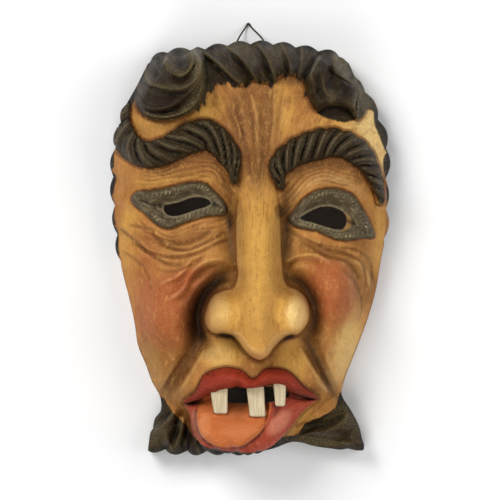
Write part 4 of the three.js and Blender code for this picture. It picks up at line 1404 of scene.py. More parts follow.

# The strokes of each tone, painted highlights and shade among them: half the width, the strength, the places.
STROKES = {
    Tone.UMBER: (  # dark glazes and painted shade in the folds and hollows
        (8, 1, (-12, -19), (-20, -24), (-29, -33), (-33.5, -44), (-34, -54), (-31, -60)),
        (5, 0.7, (-34, -54), (-39, -66), (-45, -79), (-53, -93)),
        (6, 0.9, (27, -25), (35, -31), (41, -40), (42.5, -52), (40, -62)),
        (4.5, 0.8, (-13, 36), (-9, 24), (-9, 8), (-10, -6)),
        (4.5, 0.9, (25, 36), (25, 20), (25, 2), (24, -10)),
        (5, 0.6, (-66, 53), (-50, 57), (-38, 64), (-26, 62), (-18, 50), (-14, 38)),
        (6, 0.6, (27, 44), (38, 54), (54, 56), (68, 52), (76, 42)),
        (6, 0.5, (-72, 8), (-60, 4), (-46, 5), (-30, 8), (-18, 6)),
        (5, 0.5, (-86, 82), (-72, 76), (-62, 78), (-50, 84)),
        (2.2, 0.55, (5, 40), (4, 60), (1, 84), (-3, 102)),
        (1.7, 0.55, (7, 44), (8, 66), (10, 90), (13, 106)),
        (1.7, 0.45, (2, 44), (-2, 64), (-9, 86), (-16, 104)),
        (4, 0.7, (-42, -104), (-40, -112), (-39, -120)),
        (3, 0.35, (-12, -58), (-7, -64), (-3, -71)),
        (3, 0.35, (22, -58), (17, -64), (13, -71)),
    ),
    Tone.OLIVE: (
        (6, 0.8, (41, -60), (43, -74), (49, -88), (56, -98)),
        (5, 0.8, (36, 2), (50, -3), (62, -5), (70, -18), (74, -34)),
        (4, 0.6, (74, 0), (79, -14), (80, -30)),
    ),
    Tone.SMUDGE: (
        (4, 0.7, (-10, 100), (-5, 82), (1, 62)),
        (3, 0.7, (14, 104), (10, 84), (6, 64)),
        (7, 0.8, (4, 60), (5, 46), (5, 36)),
    ),
    Tone.GOLD: (  # light glazes, partly painted highlights, on the nose, the temples and the jaw
        (18, 1, (6, 34), (6, 0), (5, -30), (5, -56)),
        (6, 0.9, (79, 88), (82, 70), (86, 52)),
        (7, 0.8, (44, 79), (56, 80), (70, 76)),
        (7, 0.7, (-76, 82), (-60, 78), (-44, 82), (-30, 88)),
        (5, 0.8, (84, 30), (86, 10), (82, -14)),
        (3, 0.6, (-72, 42), (-58, 43), (-40, 47), (-26, 45)),
    ),
    # pale paint, mostly painted highlights, on the nose wings, the right temple and brow, and the jaw
    Tone.PALE: (
        (8, 1.3, (77, 90), (81, 76), (87, 56)),
        (5, 0.6, (64, 78), (74, 80), (80, 72)),
        (3, 0.25, (28, 34), (44, 44), (60, 44), (74, 34)),
    ),
    Tone.DUST: (  # dry-brushed olive on the curls and locks, and painted sheen on the lips and tongue
        (5, 1, (-38, 126), (-33, 118), (-32, 108), (-34, 98), (-40, 90)),
        (2.2, 0.9, (-68, 114), (-65, 107), (-58, 103.5), (-48, 102), (-40, 103)),
        (1.8, 0.8, (-56, 124), (-54, 117), (-49, 111.5), (-43, 110.5), (-38, 113)),
        (3, 0.7, (-52, 122), (-50, 116), (-45, 112)),
        (4, 0.9, (70, 108), (69.5, 98), (69, 88)),
        (4, 0.8, (62, -106), (54, -117), (42, -121), (34, -124)),
        (1.2, 1, (53.5, 116), (57, 111.5), (63, 108.5), (68.5, 104)),
        (1, 1, (61.5, 128), (66, 120), (69.5, 112)),
        (2.4, 1, (-34, 120), (-33, 110), (-36, 100), (-42, 92)),
    ),
    Tone.SHADE: (  # painted shade, near black, in the deepest places, laid over every other coat
        (3.6, 1, (-17, -20), (-24.5, -25), (-30.5, -33), (-33.6, -43), (-33, -52), (-30, -58)),
        (6.5, 0.35, (-20, -20), (-29, -28), (-36, -38), (-37, -50), (-36, -60)),
        (3, 0.85, (24, -19), (32, -22), (39.5, -30), (42.6, -40), (42, -49), (38, -56)),
        (2.4, 0.8, (35, -59), (41, -68), (46, -78), (51, -88), (55, -96)),
        (5, 0.4, (-33, -58), (-37, -68), (-42, -78), (-48, -88)),
        (2.4, 0.6, (-14, 30), (-13, 20), (-13, 8), (-12, -8)),
        (3.2, 0.7, (22, 34), (23, 24), (23.6, 12), (23, -4)),
        (1.1, 0.8, (-44, -101.5), (-38, -100.4), (-31, -98.4)),
        (1, 0.75, (25, -93.4), (34, -96.3), (45, -98.6)),
        (3.2, 0.95, (-14, -95), (-8, -95), (-1, -96)),
        (2.6, 0.9, (9, -94), (15, -95)),
        (1.5, 0.95, (8.5, -91.5), (15, -89.8), (21, -90.5)),
        (4.5, 0.55, (-14, -99), (-8, -102), (-1, -100)),
        (3.4, 0.35, (-38, -98), (-30, -95), (-22, -92), (-16, -90.5)),
        (3, 0.35, (25, -90), (33, -93), (40, -96)),
        (1.1, 0.35, (-35.5, -106), (-35, -116), (-32, -122.5), (-25, -128), (-15, -130), (-5, -129),
            (4, -123.5), (12, -113)),
        (2.2, 0.7, (13.5, -100), (17.5, -104.5), (15.5, -108)),
        (1.6, 0.5, (-23, -56.5), (-16, -57), (-10, -58.4)),
        (1.6, 0.5, (31, -57.6), (24, -58.8), (20, -60.5)),
        (2.6, 0.7, (-74, 104), (-71, 94), (-64, 90.5), (-54, 91.5), (-46, 95), (-38, 101)),
        (4.5, 0.6, (-62, 124), (-63, 117), (-60, 111)),
        (5, 0.5, (-70, 98), (-62, 97), (-54, 96), (-46, 99)),
        (1.6, 1, (-19, -55.4), (-15, -56.4), (-11, -57.6)),
        (1.6, 1, (23, -57.8), (27.5, -56.6)),
        (5, 0.3, (-13, -103), (-8, -107), (-3, -103)),
        (2.6, 0.6, (47, 118), (44.5, 108), (47, 98)),
        (2, 0.7, (52.5, 128), (51.5, 120), (53, 114.5)),
        (2.4, 0.7, (-52, 114), (-45, 107), (-38, 109)),
        (3, 0.8, (55, 113), (60, 108.5), (67, 104)),
        (3.4, 0.6, (-39, -112), (-38, -122), (-40, -132)),
        (3, 0.5, (32, -122), (46, -121.5), (58, -121), (68, -120)),
        (2.4, 0.35, (-66, 57), (-52, 59.5), (-40, 66), (-28, 69), (-20, 60)),
        (2.4, 0.35, (27, 51), (40, 58), (54, 60.5), (66, 57), (75, 47)),
    ),
}

# The round patches of each tone, painted highlights and shade among them: the strength, the middle, the size,
# the turn.
BLUSHES = {
    Tone.UMBER: (  # dark glazes and painted shade in the folds and hollows
        (0.35, (50, 50), (32, 12), -8),
        (0.3, (-48, 54), (34, 12), 8),
        (0.4, (4, -80), (14, 9)),
        (0.35, (-60, -72), (18, 26)),
    ),
    Tone.OLIVE: (
        (0.5, (-52, -97), (12, 14)),
    ),
    Tone.SMUDGE: (
        (0.9, (3, 78), (22, 42)),
        (0.5, (-27, -66), (7, 9), 30),
    ),
    Tone.ROSE: (  # red glazes on the cheeks
        (1, (-52, -40), (30, 32), -30),
        (0.7, (-36, -22), (18, 14), 30),
        (1, (52, -27), (22, 30)),
        (0.5, (-70, -6), (14, 30)),
        (0.45, (4, -71), (8, 4)),
    ),
    Tone.GOLD: (  # light glazes, partly painted highlights, on the nose, the temples and the jaw
        (0.8, (-17, -42), (14, 15)),
        (0.8, (27, -42), (14, 15)),
        (0.5, (-26, 92), (14, 12)),
        (0.6, (20, 90), (12, 24)),
        (0.5, (30, -112), (16, 10), 30),
        (0.5, (64, -66), (12, 30), -14),
        (0.9, (-18, -69), (18, 13)),
        (0.9, (28, -74), (12, 16)),
        (0.7, (-78, 6), (10, 30)),
        (0.4, (-66, -80), (12, 22)),
    ),
    # pale paint, mostly painted highlights, on the nose wings, the right temple and brow, and the jaw
    Tone.PALE: (
        (0.35, (62, -70), (14, 26), -14),
        (0.9, (30, -42), (9, 13)),
        (0.4, (-19, -41), (9, 12)),
        (0.3, (-20, -70), (12, 8)),
        (0.2, (66, -60), (10, 30), -14),
    ),
    Tone.DUST: (  # dry-brushed olive on the curls and locks, and painted sheen on the lips and tongue
        (0.8, (58, 118), (8, 14), 15),
        (0.7, (76, 98), (8, 12)),
        (0.7, (52.7, 98), (4, 6)),
        (0.5, (-62, -122), (12, 12)),
        (0.5, (68, -116), (10, 10)),
        (0.6, (-4, 128), (20, 8), -30),
        (0.5, (18, 126), (10, 10)),
        # this patch and the next four: painted sheen on the lower lip and the tongue
        (1, (19, -113), (13, 6.5), 48),
        (0.8, (-36.5, -112), (2.5, 9)),
        (0.7, (-32, -117), (5, 8)),
        (0.9, (-29, -115), (5, 10)),
        (0.5, (-6, -118), (16, 6)),
        (0.9, (60, 118), (6, 12), 25),
        (0.8, (50, -126), (24, 6)),
        (0.8, (54, -113), (14, 5), 25),
    ),
    Tone.SHADE: (  # painted shade, near black, in the deepest places, laid over every other coat
        (0.5, (19, 24), (4, 6)),
        (0.4, (-13, 18), (4, 8)),
        (0.75, (-44.5, 119.5), (5, 6)),
        (0.6, (64, 102), (9, 6), -30),
        (0.6, (50, 117), (6, 18), 10),
        (0.6, (57, 88), (14, 5)),
        (0.5, (28, 116), (14, 14)),
        (0.4, (2, 118), (12, 12)),
    ),
}


class PaintPlan:
    """Where each colour lies on the mask."""

    lip_foot = 40.0  # height over the rim down to which the lower lip is red
    band_top = 12.0  # height of the band of hair round the upright edge
    limit = 30  # the distance beyond which a patch has no say

    def __init__(self, carving: Carving, board: Board) -> None:
        """Draws the patches of hair and the strokes of each tone, painted highlights and shade among them.

        Args:
            carving: the front that is painted.
            board: its heights on a fine grid.
        """
        self.carving, self.board = carving, board
        self.hair = [carving.hairline] + [carving.tiers[k].line for k in HAIR_TIERS]
        self.hair += [drawn_line(*edge) for edge in HAIR_PATCHES]
        self.inner_corner = drawn_line(*INNER_CORNER)
        self.glazes_and_painted_light = {
            tone: [Stroke(*row) for row in STROKES.get(tone, ())]
            + [Blush(*row) for row in BLUSHES.get(tone, ())]
            for tone in Tone
        }

    @staticmethod
    def _comb(survey: Survey) -> Array:
        """How far the brush strokes of the hairline run down over the forehead, in millimetres."""
        place = (survey.x - 5) / (1 + np.maximum(survey.y - 60, 0) / 40)
        fine = np.abs(np.sin(1.9 * place + 0.9 * np.sin(0.5 * place))) ** 3
        return 1.2 * fine + 2.4 * np.abs(np.sin(0.83 * place + 1.1)) ** 5 - 1.0

    def _faded(self, survey: Survey) -> Array:
        """The distance inside the hairline and the left curl, whose edges are brushed out over the skin."""
        brushed = 0.4 * (survey.near(self.hair[0]).depth + self._comb(survey))
        return np.maximum(brushed, 0.6 * survey.near(self.hair[1]).depth)

    def _side_hair(self, survey: Survey, z: Array) -> Array:
        """The distance inside the band of hair that runs round the upright edge, above the cheeks."""
        waves = 1.6 * np.sin(survey.y / 4.1) + 0.8 * np.sin(survey.y / 1.9 + survey.x / 2.3)
        return np.minimum(0.5 * (self.band_top + waves - z), 0.4 * (survey.y + 4))

    def _ridge(self, survey: Survey) -> Array:
        """The thin light lines of worn paint and painted highlight: crests, edges of the curls, strands and
        lashes.

        Args:
            survey: the places.

        Returns:
            How light each place is, from 0 to 1.
        """
        carving, near = self.carving, survey.near
        lines = [0.5 * crest.shine(survey) for crest in carving.rolls + carving.hair_crests]
        for tier in carving.tiers:
            if tier.rise > 3:
                lines.append(tier.worn * np.exp(-(((near(tier.line).depth - 0.7 * tier.edge) / 0.45) ** 2)))
        for brow in carving.brows:
            rope = near(brow.line)
            twist = brow.twist(rope)
            hairs = np.abs(np.sin(np.pi * (twist + 0.12))) ** 40
            hairs = hairs + 0.6 * np.abs(np.sin(2.3 * np.pi * twist)) ** 40
            lines.append((brow.across(rope) < 0.85) * np.minimum(hairs, 1))
        for eye in carving.eyes:
            lid = near(eye.lids)
            turn = eye.lash_turn(lid)
            share = 0.3 + 0.7 * ease(0.1, 0.8, np.sin(0.11 * turn + 1.2) + 0.4 * np.sin(0.31 * turn))
            lash = share * ease(0.5, 0.95, np.sin(turn))
            lash = lash * ease(1.6, 2.4, lid.depth) * ease(5.2, 4.2, lid.depth)
            lines += [lash, 0.5 * np.exp(-(((near(eye.slot).depth + 0.7) / 0.5) ** 2))]
        return np.max(lines, axis=0)

    def _flow(self, survey: Survey) -> Array:
        """The distance across the brush strokes on the hair, brows, lids and tongue, in millimetres.

        Args:
            survey: the places.

        Returns:
            The distances.
        """
        carving, near = self.carving, survey.near
        lines = [form.line for form in carving.rolls + carving.hair_crests + carving.tiers]
        flow = np.minimum(np.min([near(line).away for line in lines], axis=0), 60)
        for brow in carving.brows:
            rope = near(brow.line)
            flow = np.where(rope.away < 14, 5 * brow.twist(rope), flow)
        for eye in carving.eyes:
            lid = near(eye.lids)
            flow = np.where(lid.depth > -0.5, 0.35 * lid.depth, flow)
        return np.where(near(carving.tongue).depth > -0.5, 0.7 * survey.y - 0.25 * survey.x, flow)

    def marks(self, survey: Survey, z: Array) -> dict[str, Array]:
        """Works out the values that the finishes read.

        Args:
            survey: the places of the corners.
            z: their heights.

        Returns:
            The values by name: distances in millimetres, or shares from 0 to 1.
        """
        carving, board, near = self.carving, self.board, survey.near
        lids = np.max([near(eye.lids).depth for eye in carving.eyes], axis=0)
        ropes = [(brow, near(brow.line)) for brow in carving.brows]
        hair = [self._faded(survey), self._side_hair(survey, z)]
        hair += [near(line).depth for line in self.hair[2:]]
        marks = {
            "hair": np.max(hair, axis=0),
            "brow": np.max([brow.width(rope) - rope.away for brow, rope in ropes], axis=0),
            "lid": lids,
            "ochre": near(self.inner_corner).depth,
            "upper_lip": near(carving.upper_lip).depth,
            "lower_lip": np.minimum(near(carving.lower_lip).depth, 0.5 * (z - self.lip_foot)),
            "tongue": near(carving.tongue).depth,
            "ring": -lids,
        }
        marks = {name: np.clip(values, -self.limit, self.limit) for name, values in marks.items()}
        for tone, glazes_and_painted_light in self.glazes_and_painted_light.items():
            marks[tone.value] = np.clip(sum(tint.lay(survey) for tint in glazes_and_painted_light), 0, 1)
        spread = 1 + np.maximum(survey.y - 36, 0) / 22
        marks["fan"] = (survey.x - 5) / spread
        aside = np.abs(survey.x)
        marks["ring_zone"] = ease(22, 12, -lids) * ease(8, 20, np.abs(survey.x - 5)) * ease(86, 66, aside)
        marks["smooth"] = np.maximum(ease(16, -8, survey.y), ease(62, 84, aside))
        # The fine rings and the wrinkles darken the umber along their grooves: painted lines, and painted
        # shade in the creases.
        wrinkled = sum(furrow.cut(survey) for furrow in carving.wrinkles)
        marks["umber"] = np.clip(marks["umber"] + 1.2 * carving.fine_rings(survey) + 0.5 * wrinkled, 0, 1)
        marks["flow"] = self._flow(survey)
        marks["ridge"] = self._ridge(survey)
        fine = board.read(survey.x, survey.y, board.z - board.blurred(1.5))
        broad = board.read(survey.x, survey.y, board.z - board.blurred(5.0))
        marks["crest"] = np.clip(fine, -2, 2)
        marks["swell"] = np.clip(broad / 3, -2, 2)
        return marks


@dataclass
class Tooth:
    """A wooden tooth: a flat peg with a rounded lower edge, its root in a socket under the upper lip."""

    name: str
    at: Point
    top: float
    bottom: float
    lean: float
    root: float
    back: float = 57.3
    thick: float = 6.2
    round: float = 1.2
    crease: float = 60.0  # degrees past which an edge is sharp

    def peg(self, grow: float, cuts: int) -> Shape:
        """Shapes the peg.

        Args:
            grow: how much larger than the tooth it is, all round.
            cuts: how finely it is cut up.

        Returns:
            Its mesh, in metres.
        """
        shape = bmesh.new()
        bmesh.ops.create_cube(shape, size=1)
        if cuts > 1:
            bmesh.ops.subdivide_edges(shape, edges=shape.edges, cuts=cuts, use_grid_fill=True)
        high = self.root - self.at[1] + 2 * grow
        round_over = 0.0 if grow else self.round
        for vertex in shape.verts:
            u, v, w = vertex.co
            half = mix(self.bottom / 2, self.top / 2, v + 0.5) + grow
            size = Vector((half, high / 2, self.thick / 2 + grow))
            place = Vector((2 * u * size.x, 2 * v * size.y, 2 * w * size.z))
            core = Vector([max(-s + round_over, min(s - round_over, c)) for s, c in zip(size, place)])
            reach = place - core
            if reach.length > 0:
                place = core + reach.normalized() * round_over
            x = self.at[0] + place.x + self.lean * (v + 0.5)
            y = self.at[1] - grow + high / 2 + place.y
            vertex.co = to_metres(x, y, self.back + self.thick / 2 + place.z)
        return shape

    def build(self, material: Material) -> Piece:
        """Makes the tooth, with the grain standing out along its front.

        Args:
            material: its finish.

        Returns:
            The tooth.
        """
        shape = self.peg(0.0, 22)
        bmesh.ops.recalc_face_normals(shape, faces=shape.faces)
        for vertex in shape.verts:
            x, y, z = vertex.co / MM
            line = math.sin(4.1 * x + 0.5 * math.sin(0.55 * y + x))
            line += 0.6 * math.sin(9.7 * x + 1.3 * math.sin(0.8 * y))
            chip = math.sin(1.9 * x + 0.7 * y) * math.sin(1.3 * y - 2.1 * z)
            vertex.co -= vertex.normal * (0.05 * line + 0.07 * chip) * MM
        piece = new_object(self.name + "_peg", shape, material)
        piece.data.shade_smooth()
        piece.data.set_sharp_from_angle(angle=math.radians(self.crease))
        log.info("%s: %d faces", self.name, len(piece.data.polygons))
        return piece


@dataclass
class HangingWire:
    """The bent wire: a narrow loop with its ends in two holes."""

    radius: float = 0.55
    holes: Point = WIRE_HOLES
    height: float = WIRE_HEIGHT
    deep: float = 129.0
    apex: Place = (-1, 148, 0.8)

    def legs(self) -> list[Place]:
        """The places that the wire runs through, from one hole to the other.

        Returns:
            The places, in millimetres.
        """
        ax, ay, az = self.apex

        def leg(x: float, lean: float) -> list[Place]:
            """The places of one leg, from its hole to the bend at the top."""
            straight = [(x, self.deep + run, self.height) for run in (0, 4, 6.8)]
            bend = (x + 0.8 * lean, self.deep + 8.6, self.height - 1)
            return straight + [bend, (ax - 1.5 * lean, ay - 2, az + 0.3)]

        return leg(self.holes[0], 1) + [self.apex] + leg(self.holes[1], -1)[::-1]

    def build(self, material: Material) -> Piece:
        """Makes the wire as one tube with closed ends.

        Args:
            material: its finish.

        Returns:
            The wire.
        """
        curve = bpy.data.curves.new("wire_path", "CURVE")
        curve.dimensions, curve.bevel_depth, curve.bevel_resolution = "3D", self.radius * MM, 4
        curve.resolution_u, curve.use_fill_caps = 10, True
        places = self.legs()
        spline = curve.splines.new("BEZIER")
        spline.bezier_points.add(len(places) - 1)
        for knot, place in zip(spline.bezier_points, places):
            knot.co = to_metres(*place)
            knot.handle_left_type = knot.handle_right_type = "AUTO"
        path = bpy.data.objects.new("wire_path", curve)
        bpy.context.collection.objects.link(path)
        mesh = bpy.data.meshes.new_from_object(path.evaluated_get(bpy.context.evaluated_depsgraph_get()))
        bpy.data.objects.remove(path, do_unlink=True)
        mesh.materials.clear()
        mesh.materials.append(material)
        mesh.shade_smooth()
        piece = bpy.data.objects.new("wire_loop", mesh)
        bpy.context.collection.objects.link(piece)
        log.info("wire: %d faces", len(mesh.polygons))
        return piece


def from_screen(red: int, green: int, blue: int) -> tuple[float, ...]:
    """A colour given as it looks on a screen, as light."""
    shares = (value / 255 for value in (red, green, blue))
    return tuple(((v + 0.055) / 1.055) ** 2.4 if v > 0.04 else v / 12.92 for v in shares)


class Nodes:
    """Lays out the nodes of a material or a group."""

    def __init__(self, tree: Tree) -> None:
        """Takes an empty tree."""
        self.tree = tree

    def add(self, kind: str, settings: dict | None = None, **inputs: object) -> bpy.types.Node:
        """Adds a node.

        Args:
            kind: the node's type.
            settings: the node's own settings.
            inputs: values or sockets for its inputs, by their names with spaces as underlines.

        Returns:
            The node.
        """
        node = self.tree.nodes.new(kind)
        for name, value in (settings or {}).items():
            setattr(node, name, value)
        for name, value in inputs.items():
            self.feed(node.inputs[name.replace("_", " ")], value)
        return node

    def feed(self, socket: Socket, value: object) -> None:
        """Links a socket to an input, or sets the input's value.

        Args:
            socket: the input.
            value: a socket, a colour as it looks on a screen, or a plain value.
        """
        if isinstance(value, Socket):
            self.tree.links.new(value, socket)
        elif isinstance(value, tuple) and len(value) == 3 and socket.type == "RGBA":
            socket.default_value = (*from_screen(*value), 1.0)
        else:
            socket.default_value = value

    def maths(self, operation: str, *values: object) -> Socket:
        """The result of a sum on values or sockets.

        Args:
            operation: the kind of sum.
            values: what it works on.

        Returns:
            The result.
        """
        node = self.add("ShaderNodeMath", {"operation": operation})
        for socket, value in zip(node.inputs, values):
            self.feed(socket, value)
        return node.outputs[0]

    def times(self, a: object, b: object) -> Socket:
        """The product of two values or sockets."""
        return self.maths("MULTIPLY", a, b)

    def blend(self, share: object, a: object, b: object) -> Socket:
        """A share of the second colour laid over the first.

        Args:
            share: how much of the second colour shows.
            a: the first colour.
            b: the second colour.

        Returns:
            The blended colour.
        """
        node = self.add("ShaderNodeMix", {"data_type": "RGBA"})
        for index, value in ((0, share), (6, a), (7, b)):  # the factor and the two colours
            self.feed(node.inputs[index], value)
        return node.outputs[2]

    def ramp(
        self, value: object, low: float, high: float, to_low: float = 0.0, to_high: float = 1.0,
    ) -> Socket:
        """A smooth step of a value, from to_low at low to to_high at high."""
        node = self.add(
            "ShaderNodeMapRange", {"interpolation_type": "SMOOTHSTEP"},
            Value=value, From_Min=low, From_Max=high, To_Min=to_low, To_Max=to_high,
        )
        return node.outputs[0]

    def between(self, share: object, a: object, b: object) -> Socket:
        """The value a share of the way from a to b.

        Args:
            share: the share.
            a: the first value.
            b: the second value.

        Returns:
            The value between them.
        """
        node = self.add("ShaderNodeMix", {"data_type": "FLOAT"})
        for index, value in ((0, share), (2, a), (3, b)):
            self.feed(node.inputs[index], value)
        return node.outputs[0]

    def mark(self, name: str) -> Socket:
        """A value that is written on the mesh."""
        node = self.add("ShaderNodeAttribute", {"attribute_type": "GEOMETRY", "attribute_name": name})
        return node.outputs["Fac"]

    def place(self, stretch: Place = (1, 1, 1)) -> Socket:
        """The place on the object, drawn out along its axes."""
        found = self.add("ShaderNodeTexCoord").outputs["Object"]
        return self.add("ShaderNodeMapping", {"vector_type": "POINT"}, Vector=found, Scale=stretch).outputs[0]

    def noise(self, place: object, scale: object, detail: float = 3.0, rough: float = 0.55) -> Socket:
        """Soft noise at a place."""
        return self.add(
            "ShaderNodeTexNoise", None, Vector=place, Scale=scale, Detail=detail, Roughness=rough,
        ).outputs[0]

    def group(self, tree: Tree, **inputs: object) -> bpy.types.Node:
        """Places a group and feeds its inputs."""
        return self.add("ShaderNodeGroup", {"node_tree": tree}, **inputs)


def new_group(name: str, inputs: dict[str, float], outputs: Sequence[str]) -> tuple[Tree, Nodes, dict]:
    """Starts a group of nodes that several finishes share.

    Args:
        name: the group's name.
        inputs: its inputs with their usual values.
        outputs: the names of its outputs.

    Returns:
        The group, its layout, and its input sockets by name.
    """
    tree = bpy.data.node_groups.new(name, "ShaderNodeTree")
    for key, value in inputs.items():
        tree.interface.new_socket(key, in_out="INPUT", socket_type="NodeSocketFloat").default_value = value
    for key in outputs:
        tree.interface.new_socket(key, in_out="OUTPUT", socket_type="NodeSocketFloat")
    nodes = Nodes(tree)
    entry = nodes.add("NodeGroupInput")
    return tree, nodes, {key: entry.outputs[key] for key in inputs}


class Effects:
    """The effects that several finishes share, each built once."""

    def __init__(self) -> None:
        """Builds the groups."""
        self.grain = self._grain()
        self.edge = self._edge()
        self.bristle = self._bristle()

    @staticmethod
    def _grain() -> Tree:
        """Wood grain that runs up the face: Scale sets its fineness and Figure how much it wanders.

        Returns:
            The group.
        """
        tree, nodes, given = new_group("wood_grain", {"Scale": 1.0, "Figure": 1.0}, ("Line", "Pore"))
        drawn = nodes.place((1.0, 0.07, 0.5))
        wander = nodes.noise(nodes.place((1, 0.3, 1)), 30.0, 2.0)
        shift = nodes.times(nodes.times(wander, given["Figure"]), 0.004)
        moved = nodes.add("ShaderNodeVectorMath", {"operation": "ADD"})
        nodes.feed(moved.inputs[0], drawn)
        nodes.feed(moved.inputs[1], nodes.add("ShaderNodeCombineXYZ", None, X=shift).outputs[0])
        line = nodes.noise(moved.outputs[0], nodes.times(given["Scale"], 520.0), 4.0, 0.6)
        pore = nodes.noise(moved.outputs[0], nodes.times(given["Scale"], 1900.0), 2.0, 0.5)
        nodes.add("NodeGroupOutput", None, Line=line, Pore=nodes.ramp(pore, 0.56, 0.72))
        return tree

    @staticmethod
    def _edge() -> Tree:
        """The brushed edge of a patch of paint: Depth inside it, Rag and Soft, all in millimetres.

        Returns:
            The group.
        """
        tree, nodes, given = new_group("brushed_edge", {"Depth": 0.0, "Rag": 0.6, "Soft": 0.5}, ("Mask",))
        wave = nodes.maths("SUBTRACT", nodes.noise(nodes.place((1, 0.2, 1)), 620.0, 3.0), 0.5)
        ragged = nodes.maths("ADD", given["Depth"], nodes.times(wave, nodes.times(given["Rag"], 4.0)))
        share = nodes.maths("DIVIDE", ragged, given["Soft"])
        nodes.add("NodeGroupOutput", None, Mask=nodes.ramp(share, -0.5, 0.5))
        return tree

    @staticmethod
    def _bristle() -> Tree:
        """The streaks of a stiff brush: Across is the distance across them in millimetres.

        Returns:
            The group.
        """
        sockets = {"Across": 0.0, "Fineness": 1.0, "Length": 0.1}
        tree, nodes, given = new_group("brush_streaks", sockets, ("Streak",))
        apart = nodes.add("ShaderNodeSeparateXYZ", None, Vector=nodes.place((1000, 1000, 1000)))
        pace = nodes.times(given["Fineness"], given["Length"])
        where = nodes.add(
            "ShaderNodeCombineXYZ", None, X=nodes.times(given["Across"], given["Fineness"]),
            Y=nodes.times(apart.outputs["Y"], pace), Z=nodes.times(apart.outputs["X"], pace),
        )
        streak = nodes.noise(where.outputs[0], 1.0, 4.0, 0.68)
        nodes.add("NodeGroupOutput", None, Streak=nodes.ramp(streak, 0.3, 0.7))
        return tree


def new_material(name: str) -> tuple[Material, Nodes, bpy.types.Node]:
    """Starts a finish.

    Args:
        name: the finish's name.

    Returns:
        The material, its layout and its shader.
    """
    material = bpy.data.materials.new(name)
    material.use_nodes = True
    nodes = Nodes(material.node_tree)
    return material, nodes, material.node_tree.nodes["Principled BSDF"]


@dataclass(frozen=True)
class Coat:
    """An opaque coat on one patch of the front.

    Attributes:
        mark: the name of the distance inside the patch.
        base: its main colour.
        deep: its colour in the valleys, which paints their shade.
        light: its colour where it is worn and brushed light, and its painted highlights and sheen.
        rag: how ragged its edge is, in millimetres.
        soft: how soft its edge is, in millimetres.
        worn: how much of the light colour shows.
        grit: how speckled the light colour is, from 0 to 1.
    """

    mark: str
    base: Colour
    deep: Colour
    light: Colour
    rag: float
    soft: float
    worn: float
    grit: float = 1.0


